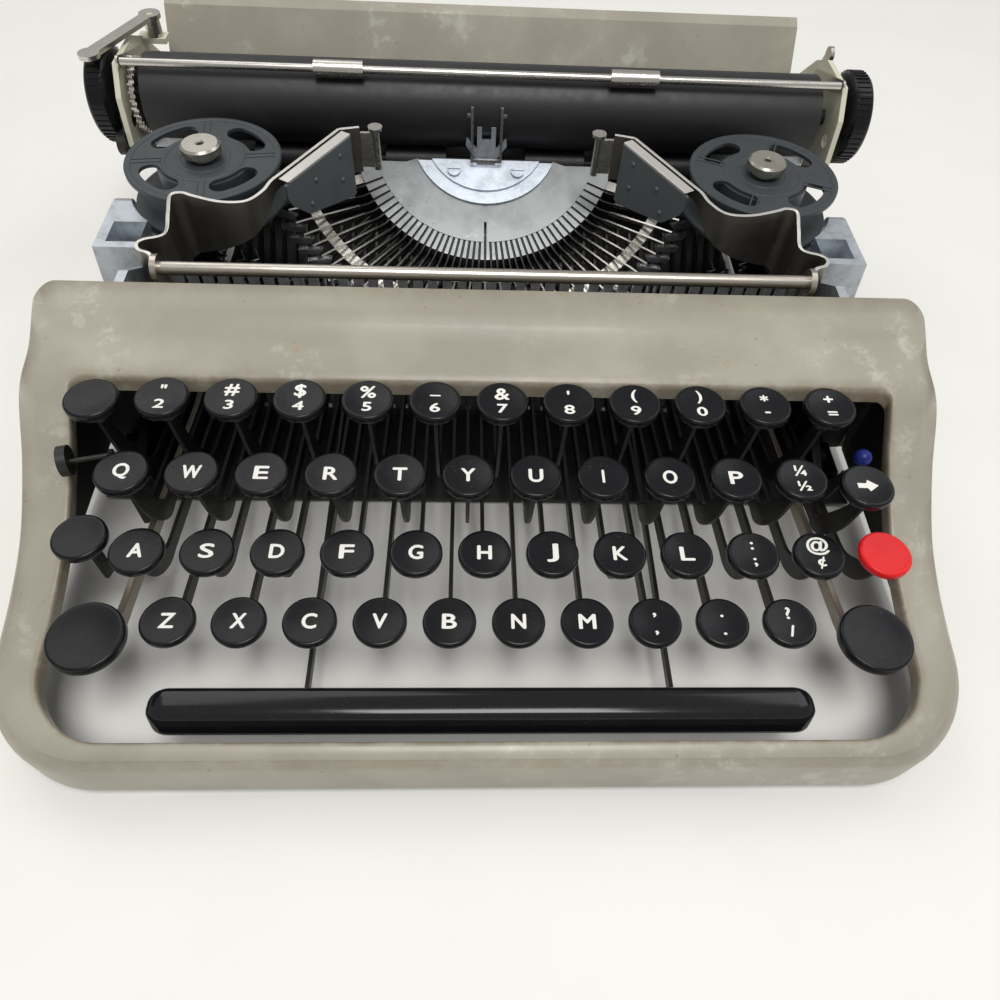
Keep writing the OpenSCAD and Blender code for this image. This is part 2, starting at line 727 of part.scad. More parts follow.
module paper_bail() {
    color(bright_steel) {
        xrod(-end_in + 1.6, end_in - 1.6, bail_rod[0], bail_rod[1], 1.4);
        for (s = [-1, 1]) scale([s, 1, 1]) {
            yz(-end_in + 0.4, -end_in + 1.2) {
                translate(bail_pivot) circle(2.4);
                translate(bail_rod) circle(2);
                polygon([bail_pivot + [0, 2.4], bail_rod + [0, 2], bail_rod - [0, 2], bail_pivot - [0, 2.4]]);
            }
            xrod(-end_x + 0.3, -end_in + 1, bail_pivot[0], bail_pivot[1], bail_pin_r);
        }
    }
    color(rubber) for (x = [-55, 55]) xrod(x - 9, x + 9, bail_rod[0], bail_rod[1], bail_roller_r);
}

lever_len = 36;

module return_lever() {
    color(bright_steel) translate([-end_in + 4.5, bracket_y, 0]) difference() {
        union() {
            translate([0, 0, bracket_z + 2.3]) cylinder(h = lever_z - bracket_z - 1, r = 3);
            translate([0, 0, lever_z]) rotate([0, 0, -112]) {
                cylinder(h = 1.6, r = 4);
                translate([0, -2.5, 0]) cube([lever_len, 5, 1.6]);
                translate([lever_len, 0, 0]) cylinder(h = 1.6, r = 3.8);
            }
        }
        translate([0, 0, bracket_z]) cylinder(h = 30, r = 1.5 + run_gap);
    }
}

module paper_release_lever() {
    color(bright_steel) translate([end_x + 0.4, 0, 0]) yz(0, 1.6) {
        translate([platen_y + 29, platen_z - 2]) circle(3.4);
        polygon([[platen_y + 26, platen_z - 3], [platen_y + 30, platen_z + 1.2],
                [platen_y + 23, platen_z + 15],
            [platen_y + 19, platen_z + 14]]);
        translate([platen_y + 21, platen_z + 14.5]) circle(3);
    }
}

module line_space_lever() {
    color(key_black) {
        yz(-end_x - 2, -end_x - 0.4) polygon([[platen_y - 16, platen_z - 11], [platen_y - 16, platen_z - 8],
            [platen_y - 9, platen_z - 3], [platen_y - 8, platen_z - 5.5]]);
        yz(-end_x - 3.2, -end_x - 0.4) translate([platen_y - 17.5, platen_z - 10]) circle(4);
        xrod(-end_x - 2.4, -end_in - 0.2, space_pin[0], space_pin[1], space_pin_r - run_gap);
    }
}

// Type basket

module seg_frame() {
    translate(seg_c) rotate([seg_tilt, 0, 0]) children();
}

module sector(r, depth) {
    intersection() {
        circle(r);
        translate([-r - 1, -r - 1]) square([2 * r + 2, r + 1 - depth]);
    }
}

module segment() {
    color(segment_grey) seg_frame() difference() {
        translate([0, 0, -seg_t / 2 - 1]) linear_extrude(seg_t) sector(seg_r, rear_cut);
        translate([0, 0, -seg_t]) cylinder(h = 3 * seg_t, r = seg_bore_r);
        for (i = [-(bars - 1) / 2:(bars - 1) / 2]) rotate([0, 0, fan(i)])
            translate([-slot_w / 2, -seg_r - 1, -seg_t])
                    cube([slot_w, seg_r - pivot_r + slot_in + 1, 3 * seg_t]);
        rotate_extrude() translate([pivot_r, pivot_n]) circle(pivot_wire_r);
    }
}

ring_r = 29;

module segment_ring() {
    color(cast_grey) seg_frame() translate([0, 0, seg_t / 2 - 1]) {
        difference() {
            union() {
                linear_extrude(1.5) sector(ring_r, rear_cut);
                linear_extrude(2.6) sector(ring_r - 5, rear_cut);
            }
            translate([0, 0, -1]) cylinder(h = 6, r = 12.2);
        }
    }
    color(brass) seg_frame() for (s = [-1, 1])
        translate([s * 12.5, -rear_cut - 5, seg_t / 2 + 1.6]) screw_head(2.6, 1.2);
    color(bright_steel) seg_frame() rotate([0, 0, -158]) rotate_extrude(angle = 136)
            translate([pivot_r, pivot_n]) circle(pivot_wire_r);
}

slug_w = 2.4;
bar_t = 0.8;
bar_h = 3.4;
neck = seg_r - pivot_r + 1.3;

// One type bar as it stands when it prints, in the segment's frame; the bar comes from the angle a
module typebar_at_print(a) {
    rotate([0, 0, a]) translate([0, -pivot_r, pivot_n]) rotate([atan((strike_h - pivot_n) / pivot_r), 0, 0])
        rotate([90, 0, 90]) translate([0, 0, -bar_t / 2]) linear_extrude(bar_t) difference() {
            polygon([[-3.4, 0.3], [-2.5, -2.2], [0.5, -1.45], [neck, 3], [bar_len - 5, 0.1],
                    [bar_len - 1.2, -0.1],
                [bar_len - 1.2, 1.4], [bar_len - 6.5, 2.4], [neck, 3 + bar_h * 0.8], [-0.6, 1.7]]);
            circle(pivot_wire_r + run_gap);
        }
    translate([0, 0, strike_h]) rotate([-type_angle - seg_tilt, 0, 0])
        translate([-slug_w / 2, -slug_t - 0.6, -slug_len / 2]) cube([slug_w, slug_t + 0.6, slug_len]);
}

// The same bar laid back on the rest, by a turn about its own pivot
module typebar(a) {
    rotate([0, 0, a]) translate([0, -pivot_r, pivot_n]) rotate([swing, 0, 0])
            translate([0, pivot_r, -pivot_n])
        rotate([0, 0, -a]) typebar_at_print(a);
}

module typebars() {
    color(bright_steel) seg_frame() for (i = [-(bars - 1) / 2:(bars - 1) / 2]) if (i != 0) typebar(fan(i));
}

module typebar_h() {
    color(bright_steel) seg_frame() typebar(0);
}

rest_r = 74;

module typebar_rest() {
    z0 = (rest_r - pivot_r) * tan(rest_angle) - 5.5;
    color(bright_steel) seg_frame() {
        rotate([0, 0, -165]) rotate_extrude(angle = 150) translate([rest_r - 1, z0]) square([4, 2]);
        for (s = [-1, 1]) rotate([0, 0, s * 73]) translate([-2, -rest_r + 1, -seg_t / 2 - 3])
                cube([4, 28, 2]);
        for (s = [-1, 1]) rotate([0, 0, s * 73]) translate([-2, -rest_r - 1, -seg_t / 2 - 3])
                cube([4, 2, z0 + seg_t / 2 + 4]);
    }
}

post_n = seg_t / 2 + 1.6;
post_base = [seg_c[1] - 13.2 * cos(seg_tilt) - post_n * sin(seg_tilt),
        seg_c[2] - 13.2 * sin(seg_tilt) + post_n * cos(seg_tilt)];
post_top = post_base + [0.9, 9.5];

module type_guide() {
    color(cast_grey) {
        yz(-3.6, 3.6) polygon([post_base, post_base + 1.7 * [cos(seg_tilt), sin(seg_tilt)],
                post_top + [1.4, 0], post_top]);
        for (s = [-1, 1]) yz(s * 2.7 - 0.9, s * 2.7 + 0.9)
            polygon([post_top - [0, 0.2], post_top + [1.4, -0.2], post_top + [1, 5], post_top + [0.2, 5]]);
        for (s = [-1, 1]) scale([s, 1, 1]) translate([3.4, post_base[0] + 1.6, post_base[1]])
                rotate([90, 0, 0])
            linear_extrude(0.8) polygon([[0, 1], [0, 6], [4.2, 10.5], [4.6, 7.5]]);
    }
}

module ribbon_vibrator() {
    color(bright_steel) for (s = [-1, 1]) {
        translate([s * 5.6 - 0.5, post_base[0] - 1.8, post_base[1] + 1.9]) cube([1, 1, 21.6]);
        translate([s * 5.6 - 0.5 - (s > 0 ? 0 : 1.4), post_base[0] - 1.8, post_base[1] + 20])
                cube([2.4, 1, 1]);
    }
    color(bright_steel) translate([-6.1, post_base[0] - 1.8, post_base[1] + 1.9]) cube([12.2, 1, 1.2]);
}

// Ribbon spools

module spool() {
    color(spool_grey) translate([-spool_x, spool_y, spool_top - spool_h]) difference() {
        union() {
            cylinder(h = 1, r = spool_r);
            cylinder(h = spool_h - 0.8, r = 9);
            cylinder(h = spool_h - 1, r = 16);
            translate([0, 0, spool_h - 1.2]) difference() {
                cylinder(h = 1.2, r = spool_r);
                for (a = [45:90:315]) rotate([0, 0, a]) {
                    for (b = [-17, 17]) rotate([0, 0, b]) translate([18.5, 0, -1]) cylinder(h = 3, r = 3.6);
                    translate([0, 0, -1]) rotate([0, 0, -17]) rotate_extrude(angle = 34)
                            translate([14.9, 0]) square([7.2, 3]);
                }
            }
        }
        translate([0, 0, -1]) cylinder(h = spool_h + 2, r = 2.5 + run_gap);
    }
}

module ribbon_spool_left() {
    spool();
}

module ribbon_spool_right() {
    other_side() spool();
}

module spool_nut() {
    translate([-spool_x, spool_y, spool_top + body_gap]) difference() {
        union() {
            cylinder(h = 1.7, r = 4.5);
            translate([0, 0, 1.7]) cylinder(h = 3.4, r = 6.6);
        }
        for (i = [0:29]) rotate([0, 0, i * 12]) translate([6.8, 0, 2.1]) cylinder(h = 2.6, r = 0.4, $fn = 16);
        translate([0, 0, -1]) cylinder(h = 7, r = 2.5);
    }
}

module spool_nuts() {
    color(bright_steel) spool_nut();
    color(bright_steel) other_side() spool_nut();
}

// Keys: a turned top on a stub, on a flat lever that turns on the fulcrum shaft

stub_r = 2.6;
stub_h = 4;

module key_top(r, t) {
    rotate_extrude() polygon([[0, -t - stub_h], [stub_r - 0.4, -t - stub_h], [stub_r, -t - 1],
            [r * 0.66, -t + 0.2],
        [r - 0.5, -t + 1.1], [r, -t + 1.8], [r, -0.8], [r - 0.7, 0], [r - 1.6, -0.15], [0, -0.35]]);
}

// Lever from the fulcrum to below a key at the place y, with a riser that ends at the height top
module lever(y, top, t, riser = 4, rise = 0.1) {
    f = [fulcrum_y, fulcrum_z];
    h = lever_h / 2;
    low = fulcrum_z + (bend_y + 4 - y) * rise;
    knee = min(4, top - low - h);
    yz(-t / 2, t / 2) difference() {
        polygon([f + [5, -h], f + [5, h], [bend_y, fulcrum_z + h], [y + riser / 2 + 3, low + h],
            [y + riser / 2, low + h + knee], [y + riser / 2, top], [y - riser / 2, top], [y - riser / 2, low],
            [y - riser / 2 + 3, low - h], [bend_y, fulcrum_z - h]]);
        translate(f) circle(fulcrum_r + run_gap);
    }
}

module key(x, y, z, r = key_r, t = key_t, lever_off = 0) {
    color(key_black) translate([x, y, z]) key_top(r, t);
    color(lever_black) translate([x + lever_off, 0, 0]) lever(y, z - t - stub_h + 1, lever_t);
}

module key_row(row) {
    for (i = [0:row_count[row] - 1])
        if (row != h_row || i != h_index) key(key_x(row, i), row_y[row], row_z[row]);
}

module number_row_keys() {
    key_row(0);
}

module top_row_keys() {
    key_row(1);
}

module home_row_keys() {
    key_row(2);
}

module bottom_row_keys() {
    key_row(3);
}

module key_h() {
    key(key_x(h_row, h_index), row_y[h_row], row_z[h_row]);
}

space_x = -0.6;
space_z = 26;

module space_bar() {
    y0 = row_y[3] - 16;
    color(key_black) intersection() {
        yz(space_x - space_len / 2, space_x + space_len / 2)
                polygon([[y0, space_z - 8], [y0 + 0.4, space_z - 1.2],
            [y0 - 0.8, space_z], [y0 - 7.6, space_z], [y0 - 8.8, space_z - 1], [y0 - 10.6, space_z - 7.2],
                    [y0 - 10, space_z - 8]]);
        translate([space_x, y0 - 5, space_z - 12]) linear_extrude(20) {
            square([space_len - 10, 12], center = true);
            for (s = [-1, 1]) translate([s * (space_len / 2 - 6), 0]) circle(6);
        }
    }
    color(lever_black) for (k = space_k) translate([lever_x(k), 0, 0]) space_arm(y0 - 4, space_z - 3);
}

// Arm of the space bar: it runs low under the bottom row
module space_arm(y, top) {
    f = [fulcrum_y, fulcrum_z];
    h = lever_h / 2;
    yz(-lever_t / 2, lever_t / 2) difference() {
        polygon([f + [5, -h], f + [5, h], [bend_y, fulcrum_z + h], [row_y[3] + 11, fulcrum_z + 1.2],
            [y + 5.5, fulcrum_z + 1.2], [y + 2.5, fulcrum_z + 4], [y + 2.5, top], [y - 2.5, top],
            [y - 2.5, fulcrum_z], [y + 1.5, fulcrum_z - 2.4], [row_y[3] + 11, fulcrum_z - 2.4],
                    [bend_y, fulcrum_z - h]]);
        translate(f) circle(fulcrum_r + run_gap);
    }
}

module shift_arm(s) {
    color(bright_steel) translate([s * shift_arm_x, 0, 0]) lever(shift_y, shift_z - key_t - stub_h, 2, 5);
    color(key_black) translate([s * shift_x, shift_y, shift_z]) key_top(shift_r, key_t + 1);
}

module shift_key_left() {
    shift_arm(-1);
}

module shift_key_right() {
    shift_arm(1);
}

side_lever_x = [release_x, -107.4, 108, 111.7];

module shift_lock_key() {
    color(key_black) translate(lock_pos) key_top(key_r, key_t);
    color(lever_black) translate([lock_pos[0] + 1.4, 0, 0]) yz(-lever_t / 2, lever_t / 2)
        polygon([[lock_pos[1] - 2, lock_pos[2] - key_t - stub_h + 1],
                [lock_pos[1] + 2, lock_pos[2] - key_t - stub_h + 1],
            [lock_pos[1] + 2, 27], [lock_pos[1] + 12, 22], [lock_pos[1] + 12, 18.4], [lock_pos[1] - 2, 24]]);
    color(lever_black) xrod(lock_pos[0] + 0.8, -shift_arm_x - 1 - body_gap, lock_pos[1] + 9.5, 20.6, 1.6);
}

module margin_release_key() {
    key(release_x, row_y[0] - 1, row_z[0]);
}

module backspace_key() {
    key(back_pos[0], back_pos[1], back_pos[2], lever_off = side_lever_x[2] - back_pos[0]);
}

module tab_key() {
    color(key_red) translate(tab_pos) key_top(key_r, key_t);
    color(lever_black) translate([side_lever_x[3], 0, 0])
            lever(tab_pos[1], tab_pos[2] - key_t - stub_h + 1, lever_t);
}

module tab_set_lever() {
    color(key_black) translate([-120.5, -85, 50]) rotate([0, 90, 14]) cylinder(h = 2.6, r = 4.4);
    color(lever_black) {
        translate([-118.6, -85, 50]) rotate([0, 90, 14]) cylinder(h = 11, r = 0.7, $fn = 24);
        translate([side_lever_x[1], 0, 0]) lever(-82.4, 51, lever_t, 3);
    }
}

selector_x = 109.85;

module ribbon_selector() {
    color([0.08, 0.14, 0.45]) translate([111.2, -80, 50]) sphere(2.6);
    color(lever_black) translate([111.2, -80, 40]) cylinder(h = 9, r = 0.8);
    color(lever_black) translate([selector_x - 0.4, -81.5, 40]) cube([2.1, 3, 2]);
    color(lever_black) translate([selector_x, 0, 0]) lever(-80, 42, 0.8, 3);
}

body_shell();
rear_housing();
rubber_feet();
side_frame_left();
side_frame_right();
rear_cross_rail();
key_guide_comb();
key_fulcrum_shaft();
cover_rod();
basket_guard_left();
basket_guard_right();
spool_cup_left();
spool_cup_right();
ribbon_guides();
carriage_rail();
mainspring_drum();
escapement_wheel();
bell();
fasteners();
carriage_frame();
carriage_end_left();
carriage_end_right();
paper_table();
front_feed_rollers();
rear_feed_rollers();
margin_rack();
margin_stop_left();
margin_stop_right();
platen();
platen_knob_left();
platen_knob_right();
platen_ratchet();
paper_bail();
return_lever();
paper_release_lever();
line_space_lever();
segment();
segment_ring();
typebars();
typebar_h();
typebar_rest();
type_guide();
ribbon_vibrator();
ribbon_spool_left();
ribbon_spool_right();
spool_nuts();
number_row_keys();
top_row_keys();
home_row_keys();
bottom_row_keys();
key_h();
space_bar();
shift_key_left();
shift_key_right();
shift_lock_key();
margin_release_key();
backspace_key();
tab_key();
tab_set_lever();
ribbon_selector();
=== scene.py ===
"""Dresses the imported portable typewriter: smooth case, moulded keys with legends, type bars,
ribbon spools, sheet metal and the finish of every part, under soft studio light."""

import json
import math

import bmesh
import bpy
from bpy.props import FloatProperty, FloatVectorProperty, IntProperty, PointerProperty
from mathutils import Matrix, Vector


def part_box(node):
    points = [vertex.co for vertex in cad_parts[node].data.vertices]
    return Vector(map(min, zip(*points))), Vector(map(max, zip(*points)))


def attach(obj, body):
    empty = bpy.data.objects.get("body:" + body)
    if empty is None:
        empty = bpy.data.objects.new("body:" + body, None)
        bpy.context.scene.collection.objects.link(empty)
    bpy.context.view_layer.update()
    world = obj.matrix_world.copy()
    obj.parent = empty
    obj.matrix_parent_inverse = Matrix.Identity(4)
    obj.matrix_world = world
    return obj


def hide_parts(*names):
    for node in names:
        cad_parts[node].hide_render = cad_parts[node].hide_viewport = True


bl_info = {
    "name": "Portable Typewriter Dressing",
    "version": (1, 0, 0),
    "blender": (4, 5, 0),
    "location": "3D View > Sidebar > Typewriter",
    "description": "Builds the looks of a portable typewriter on its CAD frame",
    "category": "Object",
}

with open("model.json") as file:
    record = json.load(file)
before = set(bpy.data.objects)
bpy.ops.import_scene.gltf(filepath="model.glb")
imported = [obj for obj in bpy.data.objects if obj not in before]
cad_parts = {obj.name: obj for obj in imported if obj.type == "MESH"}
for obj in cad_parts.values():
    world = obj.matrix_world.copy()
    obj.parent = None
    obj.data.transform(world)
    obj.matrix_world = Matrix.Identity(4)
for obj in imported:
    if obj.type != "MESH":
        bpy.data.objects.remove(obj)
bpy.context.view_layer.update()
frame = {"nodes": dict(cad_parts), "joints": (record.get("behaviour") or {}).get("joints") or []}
MM = 0.001

# Places read from the frame, in millimetres


def cad_box(node):
    """Lowest and highest corner of a CAD node, in millimetres."""
    low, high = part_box(node)
    return Vector(low) / MM, Vector(high) / MM


def joint(name):
    """A joint of the record by its name."""
    return next(j for j in frame["joints"] if j["name"] == name)


def pivot(name):
    """A joint's pivot, in millimetres."""
    return Vector(joint(name)["pos_m"]) / MM


ROWS = {
    "number_row": ("number_row_keys", 11),
    "top_row": ("top_row_keys", 11),
    "home_row": ("home_row_keys", 11),
    "bottom_row": ("bottom_row_keys", 10),
}
LEGENDS = {
    "number_row": ['"2', "#3", "$4", "%5", "_6", "&7", "'8", "(9", ")0", "*-", "+="],
    "top_row": list("QWERTYUIOP") + ["¼½"],
    "home_row": list("ASDFGHJKL") + [":;", "@¢"],
    "bottom_row": list("ZXCVBNM") + [",,", "..", "?/"],
}
HOME_H = 5
SIDES = ((-1, "left"), (1, "right"))
FULCRUM = pivot("home_row_press")


# Settings


class TypewriterSizes(bpy.types.PropertyGroup):
    """Sizes of the dressed pieces that the CAD leaves open"""

    key_dish: FloatProperty(
        name="Key dish", description="Depth of the hollow in a key top", default=0.35, subtype="DISTANCE"
    )
    letter_size: FloatProperty(
        name="Letter size", description="Size of a single legend", default=6.3, subtype="DISTANCE"
    )
    sign_size: FloatProperty(
        name="Sign size", description="Size of a legend that shares its key", default=4.9, subtype="DISTANCE"
    )
    sheet: FloatProperty(
        name="Sheet", description="Thickness of the pressed case", default=1.6, subtype="DISTANCE"
    )
    ribs: IntProperty(name="Knob ribs", description="Ribs round a platen knob", default=48, min=12)


class TypewriterColours(bpy.types.PropertyGroup):
    """Colours of the finishes"""

    enamel: FloatVectorProperty(
        name="Enamel", description="Sprayed enamel of the case", subtype="COLOR",
        default=(0.335, 0.315, 0.255),
    )
    key_black: FloatVectorProperty(
        name="Key black", description="Moulded keys", subtype="COLOR", default=(0.006, 0.0065, 0.008)
    )
    key_red: FloatVectorProperty(
        name="Key red", description="Tabulator key", subtype="COLOR", default=(0.72, 0.012, 0.016)
    )
    cream: FloatVectorProperty(
        name="Cream", description="Enamel of the carriage ends", subtype="COLOR", default=(0.63, 0.62, 0.49)
    )
    floor: FloatVectorProperty(
        name="Floor", description="Floor and background", subtype="COLOR", default=(0.84, 0.83, 0.80)
    )


# Materials


class Shader:
    """A Principled material and a short way to add the nodes of its pattern."""

    def __init__(self, name, colour, rough, metal=0.0, coat=0.0, specular=0.5):
        self.material = bpy.data.materials.new(name + "_finish")
        self.material.use_nodes = True
        self.tree = self.material.node_tree
        self.bsdf = self.tree.nodes["Principled BSDF"]
        for socket, value in (
            ("Base Color", (*colour, 1)), ("Roughness", rough), ("Metallic", metal),
            ("Coat Weight", coat), ("Coat Roughness", 0.12), ("Specular IOR Level", specular),
        ):
            self.bsdf.inputs[socket].default_value = value
        self.place = self.node("ShaderNodeTexCoord").outputs["Object"]

    def node(self, kind, inputs=None, **settings):
        """Adds a node; each of its inputs is a value or the output of another node."""
        made = self.tree.nodes.new(kind)
        for key, value in settings.items():
            setattr(made, key, value)
        for socket, value in (inputs or {}).items():
            if isinstance(value, bpy.types.NodeSocket):
                self.tree.links.new(value, made.inputs[socket])
            else:
                made.inputs[socket].default_value = value
        return made

    def drive(self, socket, source):
        """Links an output to an input of the shader itself."""
        self.tree.links.new(source, self.bsdf.inputs[socket])
        return self

    def below(self, socket):
        """What the shader's input has so far: another node's output, or its own value."""
        found = self.bsdf.inputs[socket]
        return found.links[0].from_socket if found.is_linked else found.default_value

    def noise(self, size, detail=4.0, rough=0.55, stretch=(1, 1, 1)):
        """Noise whose features are about size millimetres across."""
        mapping = self.node("ShaderNodeMapping", {"Scale": stretch, "Vector": self.place})
        return self.node("ShaderNodeTexNoise", {
            "Scale": 1.0 / (size * MM), "Detail": detail, "Roughness": rough,
            "Vector": mapping.outputs["Vector"],
        }).outputs["Fac"]

    def specks(self, size, share):
        """Small round specks, about size millimetres apart."""
        made = self.node("ShaderNodeTexVoronoi", {"Scale": 1.0 / (size * MM), "Vector": self.place})
        return self.band(made.outputs["Distance"], share, share * 0.45)

    def band(self, value, low, high):
        """0 at low, 1 at high, smooth between, whichever is larger."""
        a, b, x, y = (low, high, 0, 1) if low < high else (high, low, 1, 0)
        inputs = {"Value": value, "From Min": a, "From Max": b, "To Min": x, "To Max": y}
        return self.node("ShaderNodeMapRange", inputs, interpolation_type="SMOOTHSTEP").outputs["Result"]

    def axis(self, name):
        """A coordinate of the place, in metres."""
        return self.node("ShaderNodeSeparateXYZ", {"Vector": self.place}).outputs[name]

    def maths(self, operation, a, b):
        """Arithmetic on two masks or numbers, kept between 0 and 1."""
        made = self.node("ShaderNodeMath", {0: a, 1: b}, operation=operation, use_clamp=True)
        return made.outputs["Value"]

    def paint(self, mask, colour, strength=1.0):
        """Mixes a colour into what the base colour has so far, where mask is 1."""
        inputs = {6: self.below("Base Color"), 7: (*colour, 1), 0: self.maths("MULTIPLY", mask, strength)}
        return self.drive("Base Color", self.node("ShaderNodeMix", inputs, data_type="RGBA").outputs[2])

    def patches(self, noise, low, high, colour, strength=1.0):
        """Mixes a colour in where a noise, given as its size, detail and more, runs from low to high."""
        return self.paint(self.band(self.noise(*noise), low, high), colour, strength)

    def both(self, first, second):
        """Where two noises overlap, each given as its own numbers and the band that it is cut to."""
        masks = [self.band(self.noise(*noise), low, high) for noise, low, high in (first, second)]
        return self.maths("MULTIPLY", *masks)

    def vary(self, socket, mask, low, high):
        """Drives a socket of the shader from low to high with mask."""
        made = self.node("ShaderNodeMapRange", {"To Min": low, "To Max": high, "Value": mask})
        return self.drive(socket, made.outputs["Result"])

    def bump(self, height, strength, depth):
        """Adds a relief, depth millimetres deep, to those before it."""
        inputs = {"Strength": strength, "Distance": depth * MM, "Height": height}
        if self.bsdf.inputs["Normal"].is_linked:
            inputs["Normal"] = self.below("Normal")
        return self.drive("Normal", self.node("ShaderNodeBump", inputs).outputs["Normal"])


def enamel(colour):
    """Sprayed enamel, rubbed pale in patches, browned along its rims, with a few rust specks."""
    s = Shader("worn_enamel", colour, 0.4, coat=0.12)
    s.patches((55, 3), 0.38, 0.72, [c * 1.2 for c in colour], 0.7)
    s.patches((26, 5), 0.62, 0.36, [c * 0.8 for c in colour], 0.5)
    s.paint(s.both(((13, 8, 0.75), 0.53, 0.66), ((70, 2), 0.44, 0.6)), (0.53, 0.52, 0.47), 0.6)
    rim = s.node("ShaderNodeAttribute", attribute_name="rim").outputs["Fac"]
    worn = s.maths("MULTIPLY", rim, s.band(s.noise(9, 6, 0.7), 0.3, 0.62))
    s.paint(worn, (0.20, 0.155, 0.10), 0.8)
    s.paint(s.both(((6, 6, 0.7), 0.60, 0.72), ((34, 2), 0.50, 0.64)), (0.34, 0.21, 0.09), 0.8)
    s.paint(s.specks(7, 0.075), (0.22, 0.13, 0.06), 0.5)
    s.vary("Roughness", s.noise(8, 5), 0.3, 0.52)
    s.bump(s.noise(0.9, 3), 0.12, 0.12).bump(s.noise(16, 2), 0.12, 0.5)


def moulded(name, colour, rough=0.2, coat=0.0):
    """Polished moulded plastic with dust in its hollows and fine wear."""
    s = Shader(name, colour, rough, coat=coat, specular=0.26)
    s.paint(s.both(((0.5, 2), 0.62, 0.74), ((5, 4), 0.48, 0.66)), (0.30, 0.29, 0.27), 0.16)
    s.vary("Roughness", s.noise(3, 5, 0.7), rough * 0.7, rough * 1.8)
    s.bump(s.noise(1.2, 3), 0.06, 0.05)


def metal(name, colour, rough, stretch=(1, 1, 1), stain=(0.12, 0.10, 0.08), stained=0.35, metallic=1.0):
    """Metal with grain along its length, dull patches and small stains."""
    s = Shader(name, colour, rough, metal=metallic)
    s.patches((12, 5, 0.65), 0.5, 0.75, [c * 0.72 for c in colour], 0.6)
    s.patches((3, 6, 0.75), 0.62, 0.74, stain, stained)
    s.vary("Roughness", s.noise(6, 6, 0.7), rough * 0.75, min(1, rough * 1.5))
    s.bump(s.noise(0.5, 4, 0.7, stretch), 0.16, 0.04)


CASE_SHADE_Y, CASE_SHADE_Z = (-0.026, -0.031), (0.034, 0.028)  # painted shade: where the side frames turn black, in front of the case's back edge and low down, in metres


def cast_metal(name, colour, case_shade=False):
    """Sand cast light alloy, pale on its high places; where asked, painted shade makes it black low down and
    in front, under the case top.
    """
    s = Shader(name, colour, 0.42, metal=0.85)
    s.patches((7, 5, 0.7), 0.42, 0.7, [c * 0.62 for c in colour], 0.7)
    s.patches((1.2, 3), 0.6, 0.72, [min(1, c * 1.25) for c in colour], 0.5)
    if case_shade:
        # painted shade: black in front and low down, where the case top shades the side frames
        front, low = s.band(s.axis("Y"), *CASE_SHADE_Y), s.band(s.axis("Z"), *CASE_SHADE_Z)
        s.paint(s.maths("MAXIMUM", front, low), (0.012, 0.012, 0.013))
    s.vary("Roughness", s.noise(2.5, 5), 0.3, 0.62)
    s.bump(s.noise(1.1, 5, 0.7), 0.4, 0.16)


def ground_steel():
    """Ground face of the segment, grey with oil stains and bright rubbed places."""
    s = Shader("ground_segment_steel", (0.30, 0.315, 0.32), 0.34, metal=0.9)
    s.patches((22, 4, 0.6), 0.45, 0.68, (0.19, 0.20, 0.20), 0.7)
    s.patches((7, 5, 0.7), 0.58, 0.7, (0.44, 0.46, 0.46), 0.5)
    s.paint(s.specks(4.5, 0.11), (0.10, 0.09, 0.08), 0.55)
    s.vary("Roughness", s.noise(5, 6, 0.7), 0.24, 0.5)
    s.bump(s.noise(0.6, 4, 0.7, (1, 6, 1)), 0.14, 0.05)


def rubber(name, colour, rough):
    """Rubber, greyed in patches along its length."""
    s = Shader(name, colour, rough)
    s.patches((14, 4, 0.65, (0.35, 1, 1)), 0.5, 0.75, [c * 2.2 for c in colour], 0.5)
    s.vary("Roughness", s.noise(4, 5), rough * 0.7, rough * 1.25)
    s.bump(s.noise(0.5, 3), 0.1, 0.05)


def make_finishes(c):
    """Makes every finish of the machine; c holds the colours of the settings."""
    enamel(tuple(c.enamel))
    moulded("key_black", tuple(c.key_black))
    moulded("bar_black", tuple(c.key_black), 0.12, 0.3)
    moulded("key_red", tuple(c.key_red), 0.22)
    moulded("selector_blue", (0.01, 0.02, 0.16), 0.25)
    moulded("legend_white", (0.80, 0.79, 0.75), 0.45)
    moulded("cream_enamel", tuple(c.cream), 0.35)
    metal("black_steel", (0.022, 0.021, 0.020), 0.38, stained=0.2, metallic=0.3)
    # inner_black: the case's inner side, and the painted shade of the black sheets under and beside the
    # basket
    metal("inner_black", (0.016, 0.015, 0.014), 0.6, stained=0.3, metallic=0.0)
    metal("brown_steel", (0.36, 0.32, 0.27), 0.36, stained=0.5, metallic=0.85)
    metal("bright_steel", (0.62, 0.60, 0.56), 0.24)
    metal("rod_steel", (0.56, 0.52, 0.46), 0.27, stretch=(0.08, 1, 1))
    metal("type_steel", (0.34, 0.35, 0.36), 0.27, stained=0.5)
    metal("slug_steel", (0.19, 0.20, 0.215), 0.3, stained=0.4, metallic=0.85)
    metal("nickel", (0.60, 0.57, 0.51), 0.26, stained=0.4)
    metal("dark_plate", (0.26, 0.245, 0.22), 0.36, stretch=(1, 1, 5), stain=(0.10, 0.08, 0.06))
    metal("cut_edge", (0.72, 0.70, 0.66), 0.32, stained=0.15, metallic=0.7)
    metal("grey_lacquer", (0.11, 0.125, 0.13), 0.45, stained=0.25, metallic=0.25)
    metal("spool_lacquer", (0.052, 0.060, 0.066), 0.4, stained=0.1, metallic=0.3)
    metal("brass", (0.56, 0.43, 0.20), 0.3)
    cast_metal("cast_alloy", (0.50, 0.52, 0.55))
    cast_metal("frame_alloy", (0.58, 0.62, 0.67), True)
    cast_metal("hub_alloy", (0.60, 0.65, 0.72))
    ground_steel()
    rubber("platen_rubber", (0.012, 0.012, 0.014), 0.5)
    rubber("foot_rubber", (0.018, 0.018, 0.018), 0.7)


